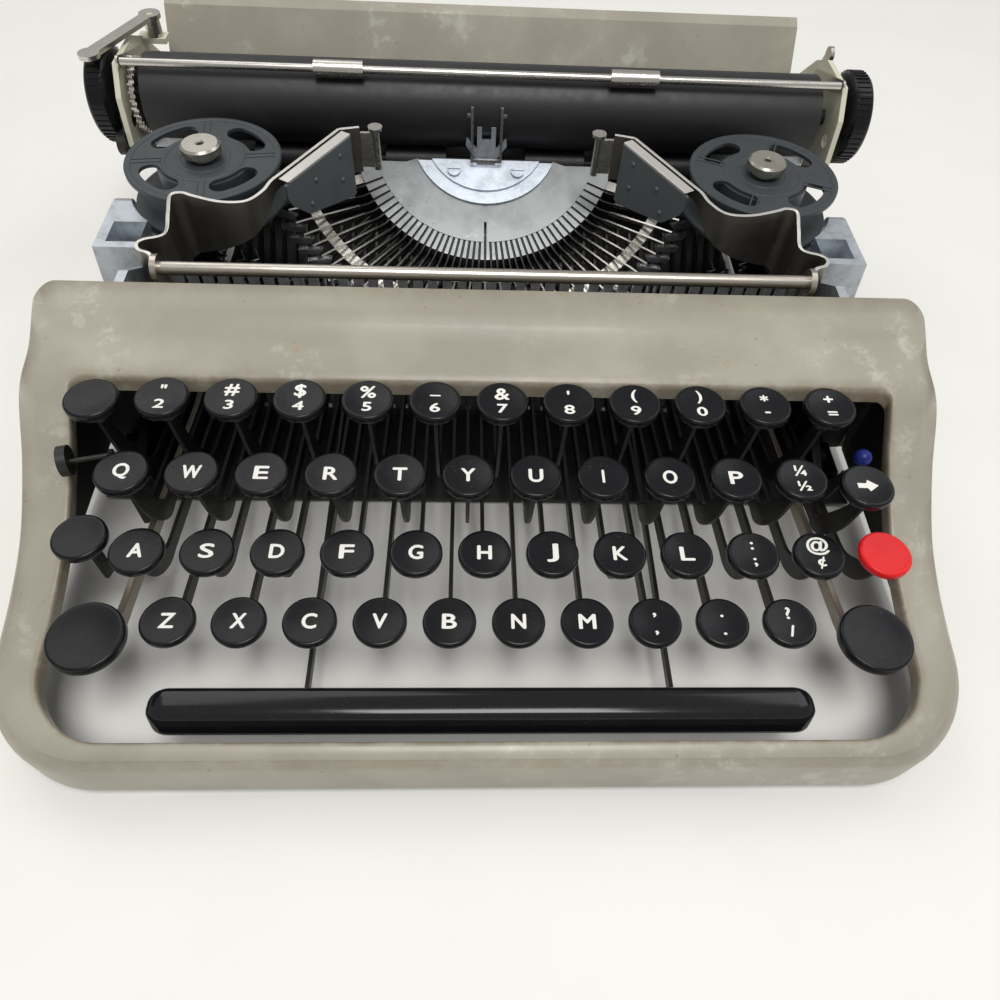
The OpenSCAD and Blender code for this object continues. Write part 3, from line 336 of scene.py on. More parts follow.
def finishes():
    """Every finish by its name; made once."""
    if "worn_enamel_finish" not in bpy.data.materials:
        make_finishes(bpy.context.scene.typewriter_colours)
    return {m.name.removesuffix("_finish"): m for m in bpy.data.materials if m.name.endswith("_finish")}


# Mesh tools; every size is in millimetres and every angle in degrees

HERE = Matrix.Identity(4)


def at(x, y=0.0, z=0.0):
    """A move to a place, given as three numbers or as one vector."""
    return Matrix.Translation(x if isinstance(x, Vector) else (x, y, z))


def spin(angle, axis):
    """A turn about an axis through the origin."""
    return Matrix.Rotation(math.radians(angle), 4, axis)


def cos(angle):
    """Cosine of an angle in degrees."""
    return math.cos(math.radians(angle))


def sin(angle):
    """Sine of an angle in degrees."""
    return math.sin(math.radians(angle))


def put(name, mesh, body, *names, slot=None, sharp=38, bevel=None, flat=False):
    """Makes an object of a mesh, or of a list of parts, sets its finishes and lets it ride on a body."""
    if isinstance(mesh, list):
        mesh = joined(name, mesh)
    mesh.transform(Matrix.Scale(MM, 4))
    clean = bmesh.new()
    clean.from_mesh(mesh)
    bmesh.ops.remove_doubles(clean, verts=clean.verts, dist=1e-6)
    if flat:
        bmesh.ops.reverse_faces(clean, faces=[f for f in clean.faces if f.normal.z < 0])
    else:
        bmesh.ops.recalc_face_normals(clean, faces=clean.faces)
    clean.to_mesh(mesh)
    clean.free()
    mesh.shade_smooth()
    mesh.set_sharp_from_angle(angle=math.radians(sharp))
    parts = [0] * len(mesh.polygons)
    mesh.polygons.foreach_get("material_index", parts)
    mesh.materials.clear()
    for finish in names:
        mesh.materials.append(finishes()[finish])
    mesh.polygons.foreach_set("material_index", parts)
    made = bpy.data.objects.new(name, mesh)
    bpy.context.scene.collection.objects.link(made)
    if bevel:
        edge = made.modifiers.new("soft_edge", "BEVEL")
        edge.width, edge.segments, edge.limit_method = bevel * MM, 2, "ANGLE"
        edge.angle_limit = math.radians(35)
        edge.harden_normals = True
    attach(made, body)
    return made


def mesh_of(name, points, faces, parts=None):
    """A mesh of points and faces; parts holds the number of each face's finish."""
    mesh = bpy.data.meshes.new(name)
    mesh.from_pydata([tuple(p) for p in points], [], faces)
    if parts:
        mesh.polygons.foreach_set("material_index", parts)
    mesh.update()
    return mesh


def joined(name, parts):
    """One mesh of several, each a mesh, its matrix and, where it isn't the first, its finish's number."""
    whole = bmesh.new()
    for mesh, matrix, *number in parts:
        piece = mesh.copy()
        piece.transform(matrix)
        piece.polygons.foreach_set("material_index", (number or [0]) * len(piece.polygons))
        whole.from_mesh(piece)
        bpy.data.meshes.remove(piece)
    out = bpy.data.meshes.new(name)
    whole.to_mesh(out)
    whole.free()
    return out


def turned(name, profile, count=48):
    """A solid of revolution about Z; profile runs from the axis to the axis, as (radius, height)."""
    points, faces, rings = [], [], []
    for radius, height in profile:
        if radius < 1e-6:
            rings.append([len(points)])
            points.append((0, 0, height))
        else:
            rings.append(list(range(len(points), len(points) + count)))
            for k in range(count):
                a = 2 * math.pi * k / count
                points.append((radius * math.cos(a), radius * math.sin(a), height))
    closed = len(rings[0]) > 1 and len(rings[-1]) > 1
    pairs = list(zip(rings, rings[1:])) + ([(rings[-1], rings[0])] if closed else [])
    for low, high in pairs:
        for k in range(count):
            a, b = low[k % len(low)], low[(k + 1) % len(low)]
            c, d = high[(k + 1) % len(high)], high[k % len(high)]
            face = [a, b, c, d]
            faces.append([v for i, v in enumerate(face) if v not in face[:i]])
    return mesh_of(name, points, faces)


def ring_faces(rings, count, closed=False):
    """Faces between rings of count points each; closed joins the last ring to the first."""
    pairs = [(i * count, (i + 1) % rings * count) for i in range(rings if closed else rings - 1)]
    return [[a + j, a + (j + 1) % count, b + (j + 1) % count, b + j] for a, b in pairs for j in range(count)]


def prism(name, outline, low, high):
    """An outline in the X-Y plane drawn up from low to high."""
    n = len(outline)
    points = [(x, y, low) for x, y in outline] + [(x, y, high) for x, y in outline]
    faces = [list(range(n))[::-1], list(range(n, 2 * n))]
    faces += [[i, (i + 1) % n, n + (i + 1) % n, n + i] for i in range(n)]
    return mesh_of(name, points, faces)


def block(name, low, high):
    """A box between its lowest and highest corner."""
    (x0, y0, z0), (x1, y1, z1) = low, high
    return prism(name, [(x0, y0), (x1, y0), (x1, y1), (x0, y1)], z0, z1)


def side_on(x=0.0):
    """Turns a drawing in X-Y, drawn up along Z, into one in Y-Z, drawn along X from x."""
    return Matrix(((0, 0, 1, x), (1, 0, 0, 0), (0, 1, 0, 0), (0, 0, 0, 1)))


def plate(name, outline, half, x=0.0):
    """An outline in the Y-Z plane drawn along X, to both sides of x."""
    mesh = prism(name, outline, -half, half)
    mesh.transform(side_on(x))
    return mesh


def steps_from(y, z, steps):
    """Points (y, z) given by their steps from a first place."""
    return [(y + dy, z + dz) for dy, dz in steps]


def wire(name, path, radius, count=10):
    """A round wire along a path, with closed ends."""
    path = [Vector(p) for p in path]
    points, side = [], None
    for i, p in enumerate(path):
        run = (path[min(i + 1, len(path) - 1)] - path[max(i - 1, 0)]).normalized()
        side = run.orthogonal().normalized() if side is None else (side - run * side.dot(run)).normalized()
        over = run.cross(side)
        for k in range(count):
            a = 2 * math.pi * k / count
            points.append(p + radius * (math.cos(a) * side + math.sin(a) * over))
    faces = ring_faces(len(path), count)
    faces += [list(range(count))[::-1], list(range(len(points) - count, len(points)))]
    return mesh_of(name, points, faces)


def spline(points, steps=8):
    """A smooth run through points of two or more numbers."""
    points = [Vector(p) for p in points]
    out = []
    for i in range(len(points) - 1):
        a, b = points[max(i - 1, 0)], points[i]
        c, d = points[i + 1], points[min(i + 2, len(points) - 1)]
        bend, twist = 2 * a - 5 * b + 4 * c - d, 3 * b - a - 3 * c + d
        for t in [k / steps for k in range(steps)]:
            out.append(0.5 * (2 * b + (c - a) * t + bend * t * t + twist * t**3))
    return out + [points[-1]]


def coil(start, end, radius, turns, per_turn=12):
    """Points of a helix from start to end, with its ends drawn in to the axis."""
    start, end = Vector(start), Vector(end)
    run = (end - start).normalized()
    side = run.orthogonal().normalized()
    over = run.cross(side)
    steps = int(turns * per_turn)
    body = []
    for i in range(steps + 1):
        a, t = 2 * math.pi * i / per_turn, 0.12 + 0.76 * i / steps
        body.append(start.lerp(end, t) + radius * (math.cos(a) * side + math.sin(a) * over))
    return [start] + body + [end]


# Repeated pieces by Geometry Nodes


def repeat_tree():
    """A tree that sets copies of an object along a line, leaves one out, and gives them a finish."""
    if "row_of_copies" in bpy.data.node_groups:
        return bpy.data.node_groups["row_of_copies"]
    tree = bpy.data.node_groups.new("row_of_copies", "GeometryNodeTree")
    face = tree.interface
    face.new_socket("Geometry", in_out="OUTPUT", socket_type="NodeSocketGeometry")
    for label, kind in (
        ("Piece", "Object"), ("Count", "Int"), ("Start", "Vector"), ("Step", "Vector"), ("Turn", "Vector"),
        ("Left out", "Int"), ("Finish", "Material"),
    ):
        face.new_socket(label, in_out="INPUT", socket_type="NodeSocket" + kind)
    new = tree.nodes.new
    given, result = new("NodeGroupInput"), new("NodeGroupOutput")
    line = new("GeometryNodeMeshLine")
    index, same = new("GeometryNodeInputIndex"), new("FunctionNodeCompare")
    same.data_type, same.operation = "INT", "EQUAL"
    drop, piece = new("GeometryNodeDeleteGeometry"), new("GeometryNodeObjectInfo")
    spread, turn = new("GeometryNodeInstanceOnPoints"), new("ShaderNodeVectorMath")
    turn.operation = "SCALE"
    keep = new("GeometryNodeCaptureAttribute")
    keep.capture_items.new("INT", "Number")
    real, finish = new("GeometryNodeRealizeInstances"), new("GeometryNodeSetMaterial")
    for source, out, target, into in (
        (given, "Count", line, "Count"), (given, "Start", line, "Start Location"),
        (given, "Step", line, "Offset"), (line, "Mesh", keep, "Geometry"), (index, "Index", keep, "Number"),
        (keep, "Geometry", drop, "Geometry"), (keep, "Number", same, "A"), (given, "Left out", same, "B"),
        (same, "Result", drop, "Selection"), (drop, "Geometry", spread, "Points"),
        (given, "Piece", piece, "Object"), (piece, "Geometry", spread, "Instance"), (given, "Turn", turn, 0),
        (keep, "Number", turn, "Scale"), (turn, "Vector", spread, "Rotation"),
        (spread, "Instances", real, "Geometry"),
        (real, "Geometry", finish, "Geometry"), (given, "Finish", finish, "Material"),
        (finish, "Geometry", result, "Geometry"),
    ):
        tree.links.new(source.outputs[out], target.inputs[into])
    return tree


def repeated(name, piece, count, start, step, finish, turn=(0, 0, 0), left_out=-1):
    """A mesh, in millimetres, of count copies of the mesh piece."""
    source = bpy.data.objects.new(name + "_one", piece)
    bpy.context.scene.collection.objects.link(source)
    holder = bpy.data.objects.new(name + "_all", bpy.data.meshes.new(name + "_all"))
    bpy.context.scene.collection.objects.link(holder)
    tree = repeat_tree()
    modifier = holder.modifiers.new("copies", "NODES")
    modifier.node_group = tree
    values = {
        "Piece": source, "Count": count, "Start": start, "Step": step, "Turn": turn,
        "Left out": left_out, "Finish": finishes()[finish],
    }
    for item in tree.interface.items_tree:
        if item.in_out == "INPUT":
            modifier[item.identifier] = values[item.name]
    bpy.context.view_layer.update()
    seen = holder.evaluated_get(bpy.context.evaluated_depsgraph_get())
    mesh = bpy.data.meshes.new_from_object(seen)
    mesh.name = name
    bpy.data.objects.remove(holder)
    bpy.data.objects.remove(source)
    return mesh


def all_round(name, piece, count, finish):
    """A mesh of count copies of the mesh piece round Z."""
    return repeated(name, piece, count, (0, 0, 0), (0, 0, 0), finish, turn=(0, 0, 2 * math.pi / count))


# Case

WELL = {"half": 120.0, "front": -155.5, "back": -63.5, "front_r": 20.0, "back_r": 3.0}
CASE = {"half": 136.0, "front": -162.0, "back": -31.0, "front_r": 30.0, "back_r": 6.0}
RIM_Z, PANEL_LOW_Z, PANEL_TOP_Z = 23.0, 61.5, 72.0
LIP, EDGE_R, SHOULDER_R, BACK_EDGE_R = 5.0, 1.2, 10.0, 5.0
CASE_BOTTOM, BACK_WALL = 4.0, 14.0
CREST_SHARE = 0.62  # of the rim's width that its crest takes up
# wear of the points of a section: the edge of the well, then the shoulder
RIM_WEAR = {0: 1.0, 1: 1.0, 2: 1.0, 3: 1.0, 4: 0.55, 13: 0.35, 14: 0.35, 15: 0.35, 16: 0.35, 17: 0.35}


def side_profile():
    """Points of the rim's height along Y, from the front rim over the well's sides to the crest."""
    depth, panel = WELL["back"] - WELL["front"], CASE["back"] - WELL["back"]
    rise = PANEL_LOW_Z - RIM_Z
    y = lambda share: WELL["front"] + share * depth
    p = lambda share: WELL["back"] + share * panel
    return [
        (CASE["front"] - 10, RIM_Z - 1), (CASE["front"], RIM_Z), (y(0.25), RIM_Z + 4.5),
        (y(0.46), RIM_Z + 8.5), (y(0.64), RIM_Z + 14.5), (y(0.83), RIM_Z + 0.67 * rise),
        (WELL["back"], PANEL_LOW_Z), (p(0.45), PANEL_LOW_Z + 0.38 * (PANEL_TOP_Z - PANEL_LOW_Z)),
        (p(0.82), PANEL_TOP_Z - 0.6),
        (CASE["back"], PANEL_TOP_Z), (CASE["back"] + 20, PANEL_TOP_Z),
    ]


def crest(y, table=side_profile()):
    """Height of the case at a place along Y."""
    i = 1
    while i < len(table) - 3 and y > table[i + 1][0]:
        i += 1
    (ya, za), (yb, zb) = table[i], table[i + 1]
    w = yb - ya
    slope = [(table[k + 1][1] - table[k - 1][1]) / (table[k + 1][0] - table[k - 1][0]) for k in (i, i + 1)]
    t = (y - ya) / w
    h = (2 * t**3 - 3 * t**2 + 1, t**3 - 2 * t**2 + t, 3 * t**2 - 2 * t**3, t**3 - t**2)
    return h[0] * za + h[1] * w * slope[0] + h[2] * zb + h[3] * w * slope[1]


def round_rectangle(s, nb, ns, nc):
    """Points round a rectangle with round corners, from the middle of the back, by the left side."""
    w, y0, y1, rf, rb = s["half"], s["front"], s["back"], s["front_r"], s["back_r"]
    line = lambda a, b, n: [tuple(a[k] + (b[k] - a[k]) * i / n for k in (0, 1)) for i in range(n)]
    arc = lambda x, y, r, start, n: [
        (x + r * cos(start + 90 * i / n), y + r * sin(start + 90 * i / n)) for i in range(n)
    ]
    return (
        line((0, y1), (rb - w, y1), nb) + arc(rb - w, y1 - rb, rb, 90, nc)
        + line((-w, y1 - rb), (-w, y0 + rf), ns) + arc(rf - w, y0 + rf, rf, 180, nc)
        + line((rf - w, y0), (w - rf, y0), nb) + arc(w - rf, y0 + rf, rf, 270, nc)
        + line((w, y0 + rf), (w, y1 - rb), ns) + arc(w - rb, y1 - rb, rb, 0, nc)
        + line((w - rb, y1), (0, y1), nb)
    )


def case_section(inner, outer, off):
    """Section over the rim at one station: down-turned lip, crest, round shoulder, outer wall."""
    p, q = Vector((*inner, 0)), Vector((*outer, 0))
    length = (q - p).length
    u = (q - p) / length
    back = max(0.0, min(1.0, (q.y - CASE["back"]) / CASE["back_r"] + 1)) ** 2
    radius = min(SHOULDER_R, length * 0.8) * (1 - back) + BACK_EDGE_R * back
    bottom = CASE_BOTTOM + back * (PANEL_TOP_Z - BACK_WALL - CASE_BOTTOM)
    drop = lambda d: 0 if d >= radius else radius - math.sqrt(radius**2 - (radius - d) ** 2)
    inside = p + u * off
    out = [(inside.x, inside.y, crest(p.y) - LIP)]
    for a in (0, 30, 60, 90):
        m = inside + u * (EDGE_R * (1 - cos(a)))
        out.append((m.x, m.y, crest(m.y) - off - (EDGE_R - off * 0.7) * (1 - sin(a))))
    for i in range(1, 9):
        m = p + u * (EDGE_R + (length - EDGE_R) * (i / 8) * CREST_SHARE)
        out.append((m.x, m.y, crest(m.y) - off - drop((q - m).length)))
    for a in range(35, 91, 7):
        r = radius - off
        m = q - u * (radius - r * sin(a))
        out.append((m.x, m.y, crest(q.y) - radius + r * cos(a)))
    m = q - u * off
    out.append((m.x, m.y, bottom))
    return out


def case_mesh(sheet):
    """The pressed sheet; its rim is marked as worn, and its inner side has its own finish."""
    counts = (10, 44, 16)
    inner, outer = round_rectangle(WELL, *counts), round_rectangle(CASE, *counts)
    points, rim = [], []
    for a, b in zip(inner, outer):
        skin, back = case_section(a, b, 0), case_section(a, b, sheet)
        points += skin + back[::-1]
        rim += [RIM_WEAR.get(i, 0.0) for i in range(len(skin))] + [0.0] * len(back)
    count = len(skin) + len(back)
    parts = [1 if len(skin) - 1 <= j < count - 1 else 0 for _ in inner for j in range(count)]
    mesh = mesh_of("case_top", points, ring_faces(len(inner), count, True), parts)
    worn = mesh.attributes.new("rim", "FLOAT", "POINT")
    worn.data.foreach_set("value", rim)
    return mesh


# Keys

KEY_R, KEY_T, STUB_H = 7.4, 4.4, 4.0
SHIFT_R, SELECTOR_R = 10.0, 2.6
LEVER_TOP = 1 - KEY_T - STUB_H  # a lever's top end, from the top of its key
LEVER_SHIFT = {"backspace_key": 1.7, "tab_key": -0.7}
LEVER_HALF, LEVER_RISE = 2.6, 0.1
COMB_Y = -28.0
SPACE_ARMS = (10.5, 32.5)  # in quarters of the key pitch, from the first key of the top row
DISH_RIM, DISH_STEP = 1.9, 0.08  # where the dish starts: in from the key's edge, and down from its top
LEGEND_LIFT, COPY_LIFT = 0.035, 0.004  # over the dish, and of each copy of a letter over the one before
LETTER_WIDTH = {"W": 5.3, "M": 4.9, "Q": 4.5, "I": 0.75, "J": 3.4}
OTHER_LETTER_WIDTH = 4.15
SIGN_OFFSET = 2.75  # of the two signs of a key from its middle
SIGN_LIFT = {"_": -0.9, '"': 0.9, "'": 0.9, ",": -0.7, ".": -0.9}  # off the middle of the sign's own line


def key_profile(radius, thick, stub, dish):
    """Turned profile of a key from its stub over the rim to the middle of its dish."""
    return [
        (0, -thick - stub), (2.2, -thick - stub), (2.5, -thick - stub + 0.3), (2.7, -thick - 0.9),
        (3.2, -thick - 0.4), (radius * 0.56, -thick + 0.05), (radius * 0.74, -thick + 0.45),
        (radius * 0.90, -thick + 1.15), (radius * 0.975, -thick + 1.85), (radius, -thick + 2.5),
    ] + steps_from(radius, 0, (
        (0, -0.62), (-0.07, -0.4), (-0.24, -0.17), (-0.5, -0.04), (-0.8, 0), (-1.2, -0.05),
    )) + [(r * (radius - 1.7), -0.1 - dish * (1 - r * r)) for r in (1, 0.8, 0.6, 0.4, 0.2, 0)]


def lever_outline(y, top, riser):
    """Side view of a key lever from behind the fulcrum to its riser, as points (y, z)."""
    fy, fz, half = FULCRUM.y, FULCRUM.z, LEVER_HALF
    low = fz + (COMB_Y + 4 - y) * LEVER_RISE
    knee = top - low - half
    bend = spline([(y + 17, low + half - 0.6), (y + 12, low + half + 0.08 * knee),
                   (y + riser / 2 + 3, low + half + 0.6 * knee), (y + riser / 2, top - 1)], 5)
    belly = spline([(y - riser / 2, top - 1.5), (y - riser / 2 + 2.2, low + 0.55 * knee),
                    (y + riser / 2 + 2.4, low - 0.4 * half + 0.2 * knee), (y + 10, low - half + 0.5),
                    (y + 16, low - half - 0.2)], 5)
    tail = [(fy + 5 * cos(a), fz + half * sin(a)) for a in (-90, -45, 0, 45, 90)]
    return tail + [(COMB_Y, fz + half), *bend, (y + riser / 2, top), (y - riser / 2, top), *belly,
                   (COMB_Y, fz - half)]


def lever_mesh(y, top, x=0.0, thick=1.2, riser=4.0):
    """A key lever whose riser ends at top, with its middle at x."""
    return plate("lever", lever_outline(y, top, riser), thick / 2, x)


def dish_height(x, y, dish):
    """Height of a legend over its place in the dish of a key, from the key's top."""
    share = min(1.0, math.hypot(x, y) / (KEY_R - DISH_RIM))
    return LEGEND_LIFT - DISH_STEP - dish * (1 - share * share)


def letter_mesh(text, size, bold=0.03, wide=1.1):
    """A flat bold legend about the origin: the glyph and four copies moved by the stroke's growth."""
    curve = bpy.data.curves.new("legend", "FONT")
    curve.body, curve.size = text, size
    curve.resolution_u = 4
    holder = bpy.data.objects.new("legend", curve)
    bpy.context.scene.collection.objects.link(holder)
    bpy.context.view_layer.update()
    glyph = bpy.data.meshes.new_from_object(holder.evaluated_get(bpy.context.evaluated_depsgraph_get()))
    bpy.data.objects.remove(holder)
    xs, ys = [v.co.x for v in glyph.vertices] or [0], [v.co.y for v in glyph.vertices] or [0]
    middle = at(-(min(xs) + max(xs)) / 2, -(min(ys) + max(ys)) / 2)
    b = bold * size
    if text.isalpha():
        wide = (LETTER_WIDTH.get(text, OTHER_LETTER_WIDTH) - 2 * b) / (max(xs) - min(xs))
    stretch = Matrix.Diagonal((wide, 1, 1, 1)) @ middle
    return joined("legend", [
        (glyph, at(dx * b, dy * b, COPY_LIFT * k) @ stretch)
        for k, (dx, dy) in enumerate(((0, 0), (1, 0), (-1, 0), (0, 0.8), (0, -0.8)))
    ])


def legend_parts(text, x, y, z, sizes):
    """Meshes of a key's legend with the matrices that lay them on its dish."""
    rows = [(text, 0.0, sizes.letter_size)]
    if len(text) > 1:
        upper, lower = text
        rows = [(upper, SIGN_OFFSET, sizes.sign_size * (1.2 if upper in "#$%&@" else 1)),
                (lower, -SIGN_OFFSET, sizes.sign_size)]
    out = []
    for sign, dy, size in rows:
        mesh = letter_mesh(sign, size, wide=1.3 if sign.isdigit() else 1.15)
        mesh.transform(at(0, dy + (SIGN_LIFT.get(sign, 0) if len(text) > 1 else 0)))
        for v in mesh.vertices:
            v.co.z += dish_height(v.co.x, v.co.y, sizes.key_dish)
        out.append((mesh, at(x, y, z)))
    return out


def row_places(row):
    """X, Y and top Z of the keys of a row, from the row's CAD node."""
    node, count = ROWS[row]
    low, high = cad_box(node)
    step = (high.x - low.x - 2 * KEY_R) / (count - 1)
    return [(low.x + KEY_R + step * i, low.y + KEY_R, high.z) for i in range(count)], step


class TYPEWRITER_OT_case(bpy.types.Operator):
    """Case top as one smooth pressed sheet, black inside"""

    bl_idname = "typewriter.case"
    bl_label = "Case"

    def execute(self, context):
        sheet = context.scene.typewriter_sizes.sheet
        top = put("case_top", case_mesh(sheet), "machine", "worn_enamel", "inner_black",
                  slot="shell_paint", sharp=60)
        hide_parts("body_shell")
        return {"FINISHED"}


class TYPEWRITER_OT_keys(bpy.types.Operator):
    """Type keys in their rows, each cap on a black lever"""

    bl_idname = "typewriter.keys"
    bl_label = "Type Keys"

    def execute(self, context):
        dish = context.scene.typewriter_sizes.key_dish
        for row, (node, count) in ROWS.items():
            places, step = row_places(row)
            x, y, z = places[0]
            gap = {"left_out": HOME_H if row == "home_row" else -1}
            cap = turned("cap", key_profile(KEY_R, KEY_T, STUB_H, dish))
            caps = repeated(row + "_caps", cap, count, (x, y, z), (step, 0, 0), "key_black", **gap)
            made = put(row + "_caps", caps, node, "key_black", slot="key_black", sharp=50)
            lever = lever_mesh(y, z + LEVER_TOP)
            levers = repeated(row + "_levers", lever, count, (x, 0, 0), (step, 0, 0), "black_steel", **gap)
            put(row + "_levers", levers, node, "black_steel", slot="key_black", bevel=0.15)
            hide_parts(node)
        return {"FINISHED"}


class TYPEWRITER_OT_side_keys(bpy.types.Operator):
    """H key, margin release, backspace, shift lock, shift and tabulator keys"""

    bl_idname = "typewriter.side_keys"
    bl_label = "Side Keys"

    def execute(self, context):
        dish = context.scene.typewriter_sizes.key_dish
        places, _ = row_places("home_row")
        single = {"key_h": places[HOME_H]}
        for node in ("margin_release_key", "backspace_key", "tab_key", "shift_lock_key"):
            low, high = cad_box(node)
            left = low.x if node != "tab_key" else high.x - 2 * KEY_R
            single[node] = (left + KEY_R, low.y + KEY_R, high.z)
        for node, (x, y, z) in single.items():
            finish = "key_red" if node == "tab_key" else "key_black"
            cap = turned("cap", key_profile(KEY_R, KEY_T, STUB_H, 0 if node == "tab_key" else dish))
            made = put(node + "_cap", [(cap, at(x, y, z))], node, finish, slot=finish, sharp=50)
            if node == "shift_lock_key":
                lever = self.lock_arm(x, y, z)
            else:
                lever = lever_mesh(y, z + LEVER_TOP, x + LEVER_SHIFT.get(node, 0))
            put(node + "_lever", lever, node, "black_steel", slot=finish, bevel=0.15)
            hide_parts(node)
        for side, name in SIDES:
            node = "shift_key_" + name
            low, high = cad_box(node)
            cap = turned("cap", key_profile(SHIFT_R, KEY_T + 1, STUB_H, dish * 1.6), 64)
            y, z = low.y + SHIFT_R, high.z
            x = low.x + SHIFT_R if side < 0 else high.x - SHIFT_R
            made = put(node + "_cap", [(cap, at(x, y, z))], "shift_keys", "key_black",
                       slot="key_black", sharp=50)
            lever = lever_mesh(y, z - KEY_T - STUB_H, x - side * 2.2, 2.0, 5.0)
            put(node + "_lever", lever, "shift_keys", "brown_steel", slot="key_black", bevel=0.25)
            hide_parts(node)
        return {"FINISHED"}

    def lock_arm(self, x, y, z):
        """Short bent arm of the shift lock with its pivot pin."""
        top = z + LEVER_TOP
        outline = [(y - 2, top), (y + 2, top), (y + 2, 27), (y + 12, 22), (y + 12, 18.4), (y - 2, 24)]
        arm = plate("lock_arm", outline, 0.6, x + 1.4)
        pin = turned("lock_pin", [(0, 0), (1.6, 0), (1.6, 6.2), (0, 6.2)], 20)
        turn = at(x + 0.8, y + 9.5, 20.6) @ spin(90, "Y")
        return joined("lock", [(arm, HERE), (pin, turn)])


class TYPEWRITER_OT_selector(bpy.types.Operator):
    """Ribbon selector: a blue ball on a collar and a black lever"""

    bl_idname = "typewriter.selector"
    bl_label = "Ribbon Selector"

    def execute(self, context):
        low, high = cad_box("ribbon_selector")
        x, y, z = high.x - SELECTOR_R, low.y + SELECTOR_R, high.z - SELECTOR_R
        arc = [(SELECTOR_R * cos(a), SELECTOR_R * sin(a)) for a in range(-60, 90, 10)]
        collar = [(0, -3.4), (1.5, -3.4), (1.5, -2.6), (1.1, -2.4)]
        ball = turned("ball", collar + arc + [(0, SELECTOR_R)], 32)
        made = put("selector_ball", [(ball, at(x, y, z))], "ribbon_selector", "selector_blue",
                   slot="blue_plastic", sharp=50)
        stem = turned("stem", [(0, -10), (0.9, -10), (0.8, -9.5), (0.8, -1), (0, -1)], 20)
        lever = lever_mesh(y, z - 8, low.x + 0.4, 0.8, 3.0)
        foot = block("foot", (low.x, y - 1.5, z - 10), (x + 0.9, y + 1.5, z - 8))
        parts = [(stem, at(x, y, z)), (lever, HERE), (foot, HERE)]
        put("selector_lever", parts, "ribbon_selector", "black_steel", slot="blue_plastic", bevel=0.12)
        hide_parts("ribbon_selector")
        return {"FINISHED"}


class TYPEWRITER_OT_legends(bpy.types.Operator):
    """White letters, numbers and signs on the key tops, and the arrow on the backspace key"""

    bl_idname = "typewriter.legends"
    bl_label = "Legends"

    def execute(self, context):
        sizes = context.scene.typewriter_sizes
        for row, (node, _) in ROWS.items():
            places, _ = row_places(row)
            parts = []
            for i, (text, (x, y, z)) in enumerate(zip(LEGENDS[row], places)):
                found = legend_parts(text, x, y, z, sizes)
                if row == "home_row" and i == HOME_H:
                    put("legend_h", found, "key_h", "legend_white", slot="key_black", flat=True)
                else:
                    parts += found
            put("legends_" + row, parts, node, "legend_white", slot="key_black", flat=True)
        low, high = cad_box("backspace_key")
        parts = [(self.arrow(sizes.key_dish), at(low.x + KEY_R, low.y + KEY_R, high.z))]
        put("legend_arrow", parts, "backspace_key", "legend_white", slot="key_black", flat=True)
        return {"FINISHED"}

    def arrow(self, dish):
        """Block arrow that points to the right, cut in columns that follow the dish."""
        half = lambda x: 0.85 if x < 0.2 else 2.0 * (3.0 - x) / 2.8
        xs = [-3.0 + 3.2 * i / 6 for i in range(7)] + [0.21 + 2.79 * i / 6 for i in range(7)]
        points = [(x, y, dish_height(x, y, dish)) for x in xs for y in (-half(x), 0, half(x))]
        corners = [i * 3 + j for i in range(len(xs) - 1) for j in (0, 1)]
        return mesh_of("arrow", points, [[a, a + 3, a + 4, a + 1] for a in corners])


class TYPEWRITER_OT_space_bar(bpy.types.Operator):
    """Long moulded space bar with round ends on two black arms"""

    bl_idname = "typewriter.space_bar"
    bl_label = "Space Bar"

    def execute(self, context):
        low, high = cad_box("space_bar")
        back, top = low.y + 10.6, high.z
        section = steps_from(back, top, (
            (0, -8), (0.35, -3), (0.2, -1.4), (-0.4, -0.45), (-1.5, -0.05), (-3, 0), (-5, -0.02),
            (-6.8, -0.15), (-7.9, -0.6), (-8.7, -1.5), (-9.4, -3.4), (-10.3, -6.6), (-10.5, -7.5), (-10, -8),
        ))
        half, middle, end = (high.x - low.x) / 2, (high.x + low.x) / 2, 5.5
        stations = [-half + end * (1 - cos(a)) for a in range(0, 91, 9)]
        stations += [-x for x in stations[::-1]]
        points = []
        cy, cz = back - 5, top - 8
        for x in stations:
            d = min(1.0, (half - abs(x)) / end)
            k = math.sqrt(max(0.0, 1 - (1 - d) ** 2))
            flat, tall = 0.25 + 0.75 * k, 0.62 + 0.38 * k
            points += [(middle + x, cy + (y - cy) * flat, cz + (z - cz) * tall) for y, z in section]
        m = len(section)
        faces = ring_faces(len(stations), m)
        faces += [list(range(m)), list(range(len(points) - m, len(points)))[::-1]]
        bar = put("space_bar_top", mesh_of("space_bar_top", points, faces), "space_bar", "bar_black",
                  slot="key_black", sharp=60)
        places, step = row_places("top_row")
        arm = plate("arm", self.arm_outline(back - 4, top - 3), 0.6)
        arms = [(arm, at(places[0][0] + step / 4 * k)) for k in SPACE_ARMS]
        put("space_bar_arms", arms, "space_bar", "black_steel", slot="key_black", bevel=0.15)
        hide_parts("space_bar")
        return {"FINISHED"}

    def arm_outline(self, y, top):
        """Side view of an arm, low under the bottom row, as points (y, z)."""
        fy, fz = FULCRUM.y, FULCRUM.z
        knee = -114.5
        bend = spline([(knee, fz + 1.2), (y + 10, fz + 1.3), (y + 4.5, fz + 2.4), (y + 2.5, fz + 5),
                       (y + 2.5, top)], 5)
        belly = spline([(y - 2.5, top), (y - 2.5, fz), (y + 0.5, fz - 2.0), (y + 5, fz - 2.4),
                        (knee, fz - 2.4)], 5)
        low, high = fz - LEVER_HALF, fz + LEVER_HALF
        return [(fy + 5, low), (fy + 5, high), (COMB_Y, high), *bend, *belly, (COMB_Y, low)]


# Type basket

